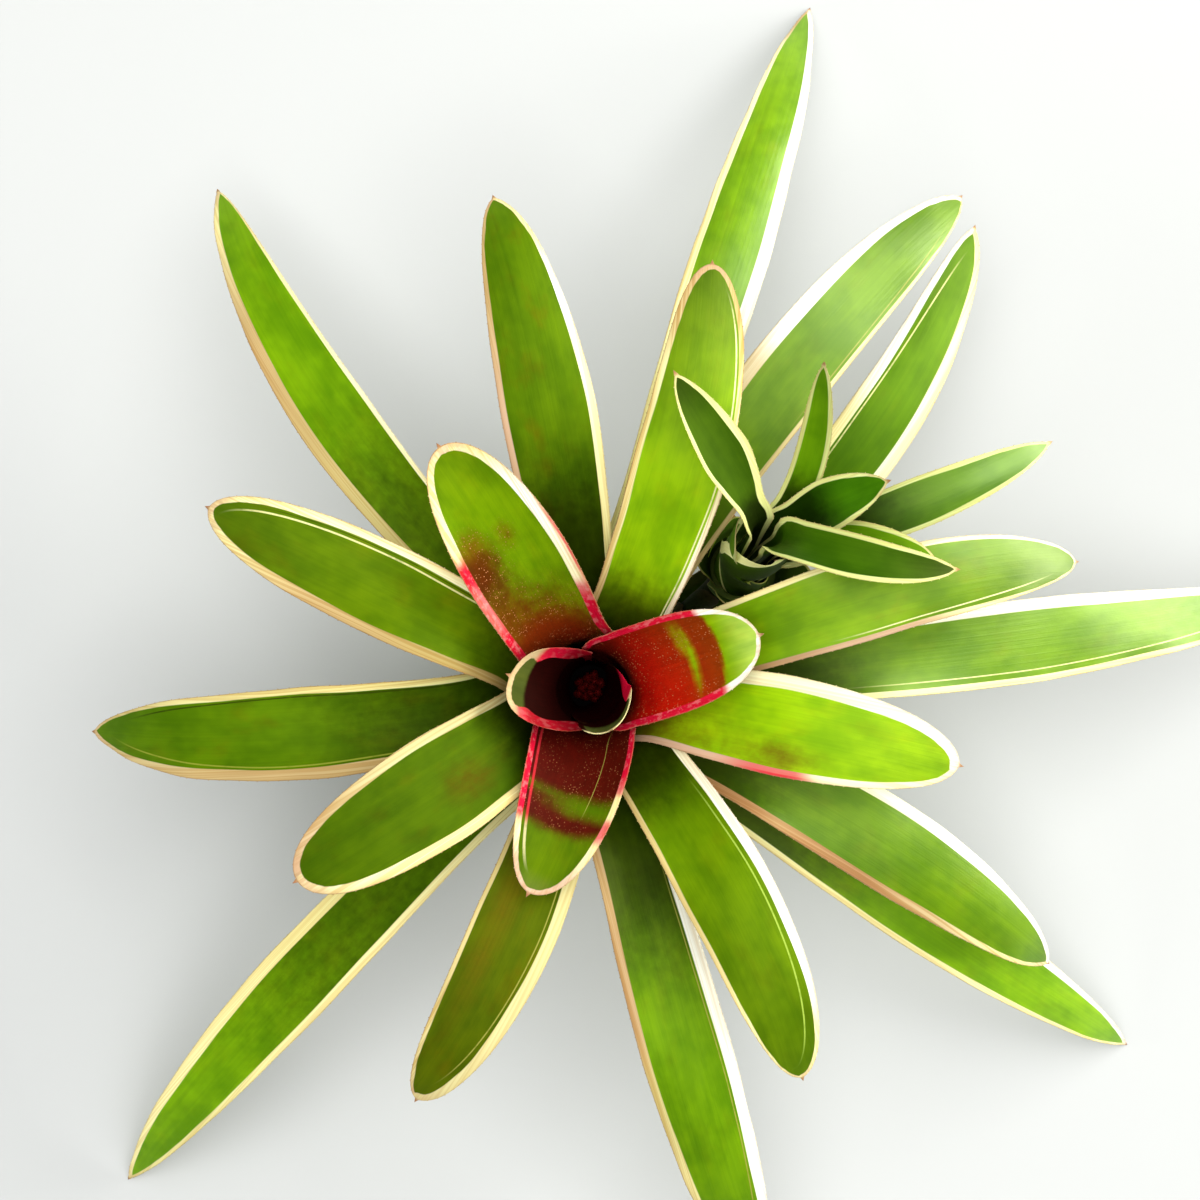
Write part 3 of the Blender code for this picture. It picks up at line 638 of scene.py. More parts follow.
def course_of(leaf, thickness):
    """The leaf's middle line turned to its bearing, which swings as a power of the distance outwards.

    The section faces the axis in the sheath and turns square to the line in the blade, where its bend
    passes from that of the wall to that of the trough.
    """
    line, along, length = side_line(leaf)
    radius, height = line.T
    throat_radius = radius[THROAT_ROW]
    outward = np.clip((radius - throat_radius) / (leaf.reach - throat_radius), 0.0, None)
    bearing = np.radians(leaf.bearing + leaf.sweep * outward ** leaf.sweep_power)
    level = np.zeros_like(bearing)
    middle = np.stack((radius * np.cos(bearing), radius * np.sin(bearing), height), axis=-1)
    inward = np.stack((-np.cos(bearing), -np.sin(bearing), level), axis=-1)
    round_axis = np.stack((-np.sin(bearing), np.cos(bearing), level), axis=-1)
    forward = unit(np.gradient(middle, axis=0))
    half = half_width(leaf, along, radius[0])

    # The spine carries on past the tip along the blade's last direction.
    steps = np.array(SPINE_STEPS) * SPINE_LENGTH
    middle = np.concatenate((middle, middle[-1] + steps[:, None] * forward[-1]))
    radius = np.concatenate((radius, np.full(len(steps), radius[-1])))
    inward, round_axis, forward = (np.concatenate((way, np.repeat(way[-1:], len(steps), axis=0)))
                                   for way in (inward, round_axis, forward))
    run = run_along(middle)
    tip_run = run[len(along) - 1]
    along = np.concatenate((along, 1.0 + steps / length))
    spine = SPINE_RADIUS * np.clip((run[-1] - run) / SPINE_LENGTH, 0.0, 1.0)
    spine[along < 0.5] = 0.0

    unrolled = smooth(along, *UNROLLED)
    bend = (1 - unrolled) / radius + unrolled / leaf.trough
    blade_half = np.concatenate((half, np.zeros(len(steps))))
    blade_half, bend, rise = opened_out(blade_half, bend, 1 - (1 - leaf.hollow) * smooth(along, *OPENED))
    half = np.maximum(blade_half, spine)
    half[-1] = SPINE_POINT

    across_way = squared_off(round_axis, forward)
    upper = np.cross(forward, across_way)
    facing = unit(inward * (1 - unrolled[:, None]) + upper * unrolled[:, None])
    thick = thickness * (1 - (1 - THIN_TIP) * smooth(along, 0.1, 1.0)) * np.clip(half / 1.2, 0.15, 1.0)
    return Course(middle, along, run, tip_run, across_way, facing, bend, rise, half, blade_half, thick)


def waves(leaf, course, place, rng):
    """How far each point moves along its outward side: both margins and the middle rise and fall slowly.

    Each margin's wave is a sum of two sines of the distance along the leaf, and fades inwards as the
    square of the distance across.
    """
    strength = smooth(course.along, *WAVED) * (1 - smooth(course.along, *CALM_TIP)) * leaf.wave
    phase = rng.uniform(0, 2 * np.pi, 6)
    beat = course.run / rng.uniform(*WAVE_LENGTHS)
    left = 0.45 * np.sin(2 * np.pi * beat + phase[0]) + 0.2 * np.sin(5.1 * np.pi * beat + phase[1])
    right = 0.45 * np.sin(2.2 * np.pi * beat + phase[2]) + 0.2 * np.sin(4.7 * np.pi * beat + phase[3])
    swell = 0.3 * np.sin(1.3 * np.pi * beat + phase[4])
    return strength[:, None] * (left[:, None] * np.clip(place, 0, 1) ** 2
                                + right[:, None] * np.clip(-place, 0, 1) ** 2 + swell[:, None])


def curled(points, normal, leaf, course, place):
    """The points with one margin curled outwards, by the square of their nearness to it."""
    side, breadth, stops = leaf.lip
    nearness = np.clip(1.0 - course.half[:, None] * (1.0 - side * place) / breadth, 0.0, 1.0)
    places, reaches = np.array(stops).T
    curl = through(places, reaches, course.along)[:, None] * nearness ** 2
    points = points - curl[..., None] * normal
    points[..., 2] -= LIP_DROP * curl
    return points


def leaf_surface(leaf, thickness, seed):
    """All of a leaf's points and what its material needs to know at each of them."""
    course = course_of(leaf, thickness)
    raised = course.middle + course.rise[:, None] * course.facing
    points, normal, place, depth = strap(raised, course.across_way, course.facing, course.bend, course.half,
                                         course.thick)
    points = points + waves(leaf, course, place, np.random.default_rng(seed))[..., None] * normal
    if leaf.lip:
        points = curled(points, normal, leaf, course, place)
    if leaf.nest is OFFSET:
        points = points @ OFFSET_TURN.T + OFFSET_FOOT
    points[..., 2] = np.maximum(points[..., 2], FLOOR_CLEARANCE)
    return points, leaf_pattern(leaf, course, place, depth, seed)


def leaf_pattern(leaf, course, place, depth, seed):
    """The leaf's colours, markings and painted shade, by attribute, worked out on its flat pattern.

    On the pattern a point lies at its distance along the middle line and its distance across from it,
    and everything near a margin is measured square to the blade's outline there.
    """
    rows, ring = len(course.run), len(place)
    flat = np.stack((np.repeat(course.run, ring), (course.half[:, None] * place).ravel()), axis=-1)
    count = len(flat)
    far = np.repeat(course.along, ring)
    spot = np.tile(place, rows)
    left_line = np.stack((course.run, course.blade_half), axis=-1)
    on_spine = flat[:, 0] > course.tip_run
    to_left, to_right = (np.where(on_spine, 0.0, distance_to(flat, left_line * (1.0, side)))
                         for side in (1.0, -1.0))

    narrow = 0.5 + 0.5 * smooth(far, -0.7, 0.1)
    left_width, right_width = (
        side.width * narrow * (1 - (1 - side.taper[2]) * smooth(far, side.taper[0], side.taper[1]))
        for side in (leaf.left, leaf.right))
    margin = np.minimum(to_left - left_width, to_right - right_width)
    nearer_left = (to_left - left_width < to_right - right_width)[:, None]
    rim = np.where(nearer_left, tints_at(leaf.left.tints, far), tints_at(leaf.right.tints, far))
    brown = np.where(nearer_left[:, 0], leaf.left.outline, leaf.right.outline)

    stripes = np.full((count, 3), FAR_AWAY)
    stripes[:, 2] = leaf.scurf
    line_tints = np.zeros((2, count, 4))
    for number, (side, inset, start, end, breadth, tint) in enumerate(leaf.lines):
        stripes[:, number] = ((to_left if side > 0 else to_right) - inset) / breadth
        line_tints[number, :, :3] = tints_at(tint, far) if isinstance(tint[0], tuple) else tint
        line_tints[number, :, 3] = smooth(far, start - 0.05, start + 0.1) * (1 - smooth(far, end - 0.12, end))

    bowed = far + leaf.flush_bow * spot ** 2
    flushed = 1 - smooth(bowed, leaf.flush_end - leaf.flush_soft, leaf.flush_end + leaf.flush_soft)
    flushed = np.maximum(flushed, patches(leaf.flush, far, spot)) * (1 - patches(leaf.windows, far, spot))
    reds = tints_at(leaf.reds, far)
    if leaf.left_reds:
        leftness = (0.5 + 0.5 * spot)[:, None]
        reds = reds * (1 - leftness) + tints_at(leaf.left_reds, far) * leftness
    # Each leaf's green is made lighter or darker by its own factor: partly its own tone, partly painted light
    # and shade.
    skin = np.tile(leaf.green, (count, 1)) * leaf.light * PIGMENT
    # Towards the tip the green passes to the tip tint, darker on most leaves: partly painted shade.
    if leaf.pale_tip:
        tip_share = smooth(far, leaf.pale_tip[0], 1.0)[:, None]
        skin = skin * (1 - tip_share) + np.array(leaf.pale_tip[1]) * tip_share

    under = 0.5 - 0.5 * np.tile(np.clip(depth * 3, -1, 1), rows)
    base = 1 - smooth(far, -1.8, -0.5)
    # Painted shade towards the throat, where the leaves lie deep between each other, in part the darker green
    # of the leaf's base.
    dusk = leaf.gloom * smooth(far, -1.2, -0.3) * (1 - smooth(far, 0.45 * leaf.dusk, leaf.dusk))
    along_blade = flat[:, 0] - course.run[THROAT_ROW]
    to_spine_end = course.tip_run + SPINE_LENGTH - flat[:, 0]
    return dict(
        coat=np.tile((leaf.rough, leaf.frost, 0.0), (count, 1)),
        bands=np.stack((margin, np.minimum(to_left, to_right), to_spine_end), axis=-1),
        stripes=stripes, line=line_tints[0], second_line=line_tints[1],
        flow=np.stack((flat[:, 1], along_blade, np.full(count, LEAF_SHIFT * seed)), axis=-1),
        marks=np.stack((under, base, brown), axis=-1),
        skin=np.column_stack((skin, dusk)),
        rim=np.column_stack((rim, np.full(count, leaf.rust))),
        flush=np.column_stack((reds * PIGMENT, flushed)))


def leaf_teeth(points, first_row, last_row, seed):
    """Small hooked teeth along both margins, each a closed pyramid that leans towards the tip.

    Their places are evenly spaced along each margin with a little scatter, and everything about a
    tooth is read off the margin there by straight-line blending between the rows.
    """
    rng = np.random.default_rng(seed + TOOTH_SEEDS)
    ring = points.shape[1]
    parts = []
    for spot in (0, ring // 2):
        edge_line, above, below = (points[first_row:last_row, (spot + step) % ring] for step in (0, 2, -2))
        run = run_along(edge_line)
        count = max(int(run[-1] / TOOTH_PITCH), 1)
        scatter = rng.uniform(-TOOTH_SCATTER, TOOTH_SCATTER, count)
        row = np.interp((np.arange(count) + 0.5 + scatter) * run[-1] / count, run, np.arange(len(run)))
        low = np.clip(row.astype(int), 0, len(run) - 2)
        share = (row - low)[:, None]
        foot, ahead, out = (values[low] * (1 - share) + values[low + 1] * share for values in
                            (edge_line, np.gradient(edge_line, axis=0), edge_line - (above + below) / 2))
        ahead = unit(ahead)
        out = squared_off(out, ahead)
        up = TOOTH_DEPTH * np.cross(ahead, out)
        size = rng.uniform(*TOOTH_SIZES, count)[:, None]
        half_foot = TOOTH_FOOT * size
        sunk = foot - TOOTH_ROOT * out
        back, front = sunk - half_foot * ahead, sunk + half_foot * ahead
        point = foot + TOOTH_REACH * size * out + TOOTH_HOOK * half_foot * ahead
        corners = np.stack((back - up, front - up, front + up, back + up, point), axis=1).reshape(-1, 3)
        faces = np.array(((0, 1, 3), (1, 2, 3), (0, 4, 1), (1, 4, 2), (2, 4, 3), (3, 4, 0)))
        faces = (faces[None] + 5 * np.arange(count)[:, None, None]).reshape(-1, 3)
        source = (first_row + np.round(row).astype(int)) * ring + spot
        parts.append((corners, faces, np.repeat(source, 5)))
    return parts


def to_object(name, vertices, faces, material, data=None):
    """A mesh piece in the row's frame, from points about the main axis in millimetres."""
    mesh = bpy.data.meshes.new(name)
    mesh.from_pydata((vertices + AXIS) * MM, [], [face for part in faces for face in part.tolist()])
    mesh.validate()
    mesh.shade_smooth()
    for key, values in (data or {}).items():
        kind, part = ("FLOAT_COLOR", "color") if values.shape[1] == 4 else ("FLOAT_VECTOR", "vector")
        layer = mesh.attributes.new(key, kind, "POINT")
        layer.data.foreach_set(part, values.astype(np.float32).ravel())
    mesh.materials.append(material)
    piece = bpy.data.objects.new(name, mesh)
    bpy.context.scene.collection.objects.link(piece)
    return piece


def turned(profile, sides):
    """The closed surface swept by a line of (radius, height) points turning about +Z, poles at both ends.

    The profile runs from the top of the axis down to its foot, both ends on the axis.
    """
    radius, height = profile[1:-1].T
    angle = np.linspace(0.0, 2.0 * np.pi, sides, endpoint=False)
    around = np.stack((radius[:, None] * np.cos(angle), radius[:, None] * np.sin(angle),
                       np.repeat(height[:, None], sides, axis=1)), axis=-1)
    poles = np.array(((0.0, 0.0, profile[0, 1]), (0.0, 0.0, profile[-1, 1])))
    return np.concatenate((around.reshape(-1, 3), poles)), closed_faces(len(radius), sides, flip=True)


def joined(parts):
    """Several closed surfaces as one list of points and faces."""
    vertices, faces, start = [], [], 0
    for points, lists in parts:
        vertices.append(points)
        faces += [faces_of + start for faces_of in lists]
        start += len(points)
    return np.concatenate(vertices), faces


def place_data(shares):
    """The attribute that tells a bud's or bract's material how far from foot to tip a point is."""
    return dict(place=np.repeat(np.concatenate(shares)[:, None], 3, axis=1))


# ---------------------------------------------------------------- buds, water, stem and stolon

BUD_COUNT = 13
BUD_ROWS = 22
BUD_SIDES = 30
BUD_FOOT = 48.0
BUD_TOP = 60.0              # of a bud on the axis
BUD_RADIUS = 1.95
BUD_DISC = 4.5              # the radius that the buds are spread over,
BUD_DROP = 3.6              # how much lower its outermost buds end
BUD_LEAN = 5.0              # and how far they lean
BUD_LOBES = 0.10            # how far its three bracts stand proud, as a share
BUD_TWIST = 1.3             # radians that their wave shifts in a millimetre
GOLDEN_ANGLE = 137.5
WATER_LEVEL = 51.5
WATER_RADIUS = 9.4
WATER_CLIMB = 1.1           # how far up the leaves its edge creeps
WATER_FLAT = 0.80           # the share of its radius that stays level
STEM_ROWS = 150
STEM_SIDES = 96             # and the water's
STEM_HEIGHTS = (46.0, 2.0)
STEM_INSET = 0.6            # how far it stays inside the leaves' attachments
STEM_TOP = 47.4
STEM_FOOT_RADIUS = 16.7
STEM_CUT_RADIUS = 15.6
STEM_RIDGE = 0.14
STOLON_BEARING = 38.0
STOLON_ROWS = 120
STOLON_SIDES = 32
STOLON_STOPS = [            # distance from the axis, height and radius of each point of its route
    (17.3, 10.3, 3.1), (20.5, 10.8, 3.1), (25.5, 13.8, 3.1), (31.0, 18.2, 3.1), (36.0, 25.0, 3.1),
    (39.2, 33.5, 3.1), (44.0, 42.0, 3.1), (51.0, 47.5, 3.4), (59.0, 51.0, 3.8),
]
SHOOT_STOPS = [(4.0, 3.55), (9.5, 2.8), (15.5, 1.8)]    # height up the offset's axis, and radius
NODE_PITCH = 9.0
NODE_RING = 0.035           # how far a node's ring stands proud, as a share
STOLON_INSET = 0.1          # taken off its radius, to leave room for the rings
STOLON_BRACTS = [           # distance along it, which side, length and half width of each bract
    (20.0, 90.0, 14.0, 6.0), (27.0, 250.0, 14.0, 6.0), (34.0, 60.0, 15.0, 6.6), (40.0, 200.0, 15.0, 6.6),
    (45.0, 110.0, 17.0, 7.6), (50.0, 20.0, 17.0, 7.6), (54.0, 180.0, 18.0, 8.0),
]
BRACT_RING = 24


def bud(radius, bearing, top, lean):
    """One pointed bud, three-sided like its bracts: an ovoid that leans away from the axis."""
    share = np.linspace(0.0, 1.0, BUD_ROWS)
    girth = BUD_RADIUS * np.sin(np.pi * share ** 0.85) ** 1.05
    points, faces = turned(np.stack((girth, (BUD_FOOT - top) * share), axis=-1), BUD_SIDES)
    spin = np.arctan2(points[:, 1], points[:, 0])
    lobes = 1.0 + BUD_LOBES * np.cos(3 * spin + BUD_TWIST * points[:, 2])
    points[:, :2] *= lobes[:, None]
    angle = math.radians(bearing)
    down = -points[:, 2] / (top - BUD_FOOT)
    out = radius + (top - BUD_FOOT) * math.tan(math.radians(lean)) * (1.0 - down)
    points[:, 0] += out * math.cos(angle)
    points[:, 1] += out * math.sin(angle)
    points[:, 2] += top
    return (points, faces), 1.0 - down


def add_buds(material):
    """Buds spread evenly over a disc, each turned by the golden angle from the last, the outer ones lower."""
    spreads = [math.sqrt((number + 0.3) / BUD_COUNT) for number in range(BUD_COUNT)]
    buds, shares = zip(*(
        bud(BUD_DISC * spread, GOLDEN_ANGLE * number, BUD_TOP - BUD_DROP * spread, BUD_LEAN * spread)
        for number, spread in enumerate(spreads)))
    piece = to_object("visual_buds", *joined(buds), material, place_data(shares))
    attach(piece, "root")
    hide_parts("heart")


def add_water(material):
    """The little water that stands in the cup: a flat disc whose edge climbs the leaves round it."""
    out = np.linspace(0.0, 1.0, 40)
    climb = np.maximum(out - WATER_FLAT, 0.0) / (1.0 - WATER_FLAT)
    top = np.stack((WATER_RADIUS * out, WATER_LEVEL + WATER_CLIMB * climb ** 2.2), axis=-1)
    under = np.array(((WATER_RADIUS - 0.3, WATER_LEVEL - 0.6), (WATER_RADIUS * 0.6, WATER_LEVEL - 0.8),
                      (0.0, WATER_LEVEL - 0.8)))
    piece = to_object("visual_cup_water", *turned(np.concatenate((top, under)), STEM_SIDES), material)
    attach(piece, "root")
    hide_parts("heart")


def add_stem(material):
    """A tapering stem, ringed with a low ridge under each leaf's attachment and cut flat at its foot."""
    height = np.linspace(*STEM_HEIGHTS, STEM_ROWS)
    steps = (ROSETTE.first_height - height) / ROSETTE.height_step
    radius = np.minimum(ROSETTE.first_radius + ROSETTE.radius_step * steps - STEM_INSET, STEM_FOOT_RADIUS)
    radius = radius + STEM_RIDGE * (0.5 + 0.5 * np.cos(2 * np.pi * steps)) ** 3
    side = np.stack((radius, height), axis=-1)
    shoulder = radius[0]
    top = np.array(((0.0, STEM_TOP), (0.4 * shoulder, STEM_TOP), (0.75 * shoulder, STEM_TOP - 0.05),
                    (0.93 * shoulder, STEM_TOP - 0.5)))
    cut = [(share * STEM_CUT_RADIUS, 0.0) for share in (1.0, 0.8, 0.5, 0.2, 0.0)]
    foot = np.array([(STEM_CUT_RADIUS + 0.5, 0.8)] + cut)
    piece = to_object("visual_stem", *turned(np.concatenate((top, side, foot)), STEM_SIDES), material)
    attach(piece, "root")
    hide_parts("stem")


def stolon_route():
    """The stolon's middle line and thickness: out from the stem, up, and on along the offset's axis."""
    stops = np.array([polar(radius, STOLON_BEARING, height) for radius, height, _ in STOLON_STOPS]
                     + [OFFSET_TURN @ np.array((0.0, 0.0, level)) + OFFSET_FOOT for level, _ in SHOOT_STOPS])
    thick = np.array([stop[-1] for stop in STOLON_STOPS + SHOOT_STOPS])
    run = run_along(stops)
    place = np.linspace(0.0, run[-1], STOLON_ROWS)
    middle = np.stack([through(run, stops[:, axis], place) for axis in range(3)], axis=-1)
    return place, middle, np.interp(place, run, thick)


def bract(middle, outward, forward, thick, share, width):
    """A pointed strap that wraps the stolon and lifts off it towards its tip, and the share of each point.

    The share runs from 0 at its base to 1 at its tip.  Its half width is a sine of the share to a power,
    and its lift off the stolon a cubic curve.
    """
    lift = thick + 0.25 + 0.5 * share + 1.6 * share ** 3
    half = width * np.sin(np.pi * np.clip(0.30 + 0.72 * share, 0.0, 0.995)) ** 0.7
    points = strap(middle + lift[:, None] * outward, -np.cross(outward, forward), -outward, 1.0 / lift, half,
                   np.clip(half, 0.1, 0.35), BRACT_RING)[0]
    shares = np.concatenate((np.repeat(np.linspace(0.0, 1.0, len(points)), BRACT_RING), (0.0, 1.0)))
    return (with_ends(points), closed_faces(len(points), BRACT_RING)), shares


def add_stolon(material):
    """A round tube with a low ring at each node, and pointed bracts that wrap it and overlap."""
    place, middle, thick = stolon_route()
    sideways = polar(1.0, STOLON_BEARING + 90.0, 0.0)
    forward = unit(np.gradient(middle, axis=0))
    across_way = squared_off(sideways, forward)
    upper = np.cross(forward, across_way)
    angle = np.linspace(0.0, 2.0 * np.pi, STOLON_SIDES, endpoint=False)
    ringed = (thick - STOLON_INSET) * (1.0 + NODE_RING * np.cos(2 * np.pi * place / NODE_PITCH) ** 8)
    ringed[-1] *= 0.5
    tube = (middle[:, None] + (ringed[:, None] * np.cos(angle))[..., None] * across_way[:, None]
            + (ringed[:, None] * np.sin(angle))[..., None] * upper[:, None])
    parts = [(with_ends(tube), closed_faces(len(tube), STOLON_SIDES))]
    shares = [np.full(len(parts[0][0]), -1.0)]
    for start, side, length, width in STOLON_BRACTS:
        rows = (place >= start) & (place <= start + length)
        side = math.radians(side)
        outward = math.cos(side) * across_way[rows] + math.sin(side) * upper[rows]
        share = (place[rows] - start) / length
        part, share = bract(middle[rows], outward, forward[rows], thick[rows], share, width)
        parts.append(part)
        shares.append(share)
    piece = to_object("visual_stolon", *joined(parts), material, place_data(shares))
    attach(piece, "root")
    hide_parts("offset_stem")


def add_leaf(leaf, thickness, seed, material, stands_for=None):
    """A leaf with its teeth as one piece; a tooth takes its colours from the margin that it stands on."""
    points, data = leaf_surface(leaf, thickness, seed)
    rows, ring = points.shape[:2]
    vertices, faces = [with_ends(points)], list(closed_faces(rows, ring))
    sources = [np.arange(rows * ring), np.array((ring // 4, (rows - 1) * ring))]
    start = len(vertices[0])
    for corners, tooth_faces, source in leaf_teeth(points, THROAT_ROW, rows - TOOTHLESS_ROWS, seed):
        vertices.append(corners)
        faces.append(tooth_faces + start)
        sources.append(source)
        start += len(corners)
    source = np.concatenate(sources)
    data = {key: values[source] for key, values in data.items()}
    piece = to_object("visual_" + leaf.name, np.concatenate(vertices), faces, material, data)
    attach(piece, "root")
    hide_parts(stands_for or leaf.name)


# ---------------------------------------------------------------- finishes

class Finish:
    """A node material under construction: each method adds a node and returns its output."""

    def __init__(self, name):
        self.material = bpy.data.materials.new(name)
        self.material.use_nodes = True
        self.nodes = self.material.node_tree.nodes
        self.links = self.material.node_tree.links
        self.shader = self.nodes["Principled BSDF"]

    def put(self, socket, value):
        """Links a node's output to the socket, or sets a number or colour on the socket itself."""
        if isinstance(value, bpy.types.NodeSocket):
            self.links.new(value, socket)
        else:
            socket.default_value = value

    def finished(self, **inputs):
        """Gives the shader its inputs, with _ for each space in a name, and returns the material."""
        for name, value in inputs.items():
            self.put(self.shader.inputs[name.replace("_", " ")], value)
        return self.material

    def node(self, kind, inputs, **settings):
        """A new node with its settings and its inputs, given by name or number."""
        node = self.nodes.new("ShaderNode" + kind)
        for name, value in settings.items():
            setattr(node, name, value)
        for name, value in inputs.items():
            self.put(node.inputs[name], value)
        return node

    def attribute(self, name):
        return self.node("Attribute", {}, attribute_name=name).outputs

    def here(self):
        """Where each point lies in its object."""
        return self.node("TexCoord", {}).outputs["Object"]

    def split(self, vector):
        return self.node("SeparateXYZ", {0: vector}).outputs

    def numbers(self, name):
        """The three numbers of a vector attribute."""
        return self.split(self.attribute(name)["Vector"])

    def math(self, operation, a, b):
        return self.node("Math", {0: a, 1: b}, operation=operation).outputs[0]

    def times(self, product, *factors):
        """The product of all the values."""
        for factor in factors:
            product = self.math("MULTIPLY", product, factor)
        return product

    def swing(self, noise, strength):
        """A noise moved to swing about 0, made stronger or weaker."""
        return self.times(self.math("SUBTRACT", noise, 0.5), strength)

    def step(self, value, low, high, to_low=0.0, to_high=1.0):
        """An even S from to_low, where value is low, to to_high, where it is high."""
        inputs = {0: value, 1: low, 2: high, 3: to_low, 4: to_high}
        return self.node("MapRange", inputs, interpolation_type="SMOOTHSTEP").outputs[0]

    def scaled(self, vector, scale, shift=(0.0, 0.0, 0.0)):
        """The vector multiplied by a scale for each axis, then shifted."""
        return self.node("Mapping", {"Vector": vector, "Scale": scale, "Location": shift}).outputs[0]

    def noise(self, vector, scale, shift=(0.0, 0.0, 0.0), detail=2.0, roughness=0.5):
        """A cloudy noise from 0 to 1, finer along an axis where its scale is greater."""
        inputs = {"Vector": self.scaled(vector, scale, shift), "Scale": 1.0, "Detail": detail,
                  "Roughness": roughness}
        return self.node("TexNoise", inputs).outputs["Fac"]

    def cells(self, vector, scale):
        return self.node("TexVoronoi", {"Vector": self.scaled(vector, scale), "Scale": 1.0}).outputs

    def mix(self, share, first, second, how="MIX"):
        """The first colour passing to the second as the share goes from 0 to 1."""
        node = self.node("Mix", {"Factor": share}, data_type="RGBA", blend_type=how)
        for name, colour in (("A", first), ("B", second)):
            socket = next(s for s in node.inputs if s.name == name and s.type == "RGBA")
            self.put(socket, (*colour, 1.0) if isinstance(colour, tuple) else colour)
        return next(s for s in node.outputs if s.type == "RGBA")

    def darker(self, colour, share, factor):
        """The colour multiplied by a factor, in the given share."""
        return self.mix(share, colour, self.mix(1.0, colour, factor, "MULTIPLY"))

    def ragged(self, amount, noise, strength):
        """An amount from 0 to 1 whose middle values are broken up by a noise."""
        turning = self.times(amount, self.math("SUBTRACT", 1.0, amount))
        moved = self.math("ADD", amount, self.times(self.swing(noise, strength * 4.0), turning))
        return self.math("MINIMUM", self.math("MAXIMUM", moved, 0.0), 1.0)

    def bump(self, height, strength, distance, onto=None):
        """Small relief, on top of another one if it is given."""
        inputs = {"Strength": strength, "Distance": distance, "Height": height}
        if onto:
            inputs["Normal"] = onto
        return self.node("Bump", inputs).outputs[0]


SCURF = (0.54, 0.21, 0.08)
FROST = (0.96, 0.66, 0.58)
EDGE_BROWN = (0.36, 0.20, 0.09)
TIP_HUSK = (0.56, 0.34, 0.20)
SPINE_BROWN = (0.30, 0.13, 0.06)
SHEATH_PALE = (0.22, 0.30, 0.06)
UNDERSIDE = (0.10, 0.18, 0.04)
OFFSET_UNDERSIDE = (0.045, 0.095, 0.006)
SHINE = {                   # how strongly each kind of skin shines, and the tint of its shine
    "velvet": (0.08, (1.0, 0.5, 0.3, 1.0)), "dull": (0.22, (0.75, 1.0, 0.12, 1.0)),
    "satin": (0.45, (0.80, 1.0, 0.22, 1.0)), "waxy": (0.80, (0.84, 1.0, 0.50, 1.0)),
}


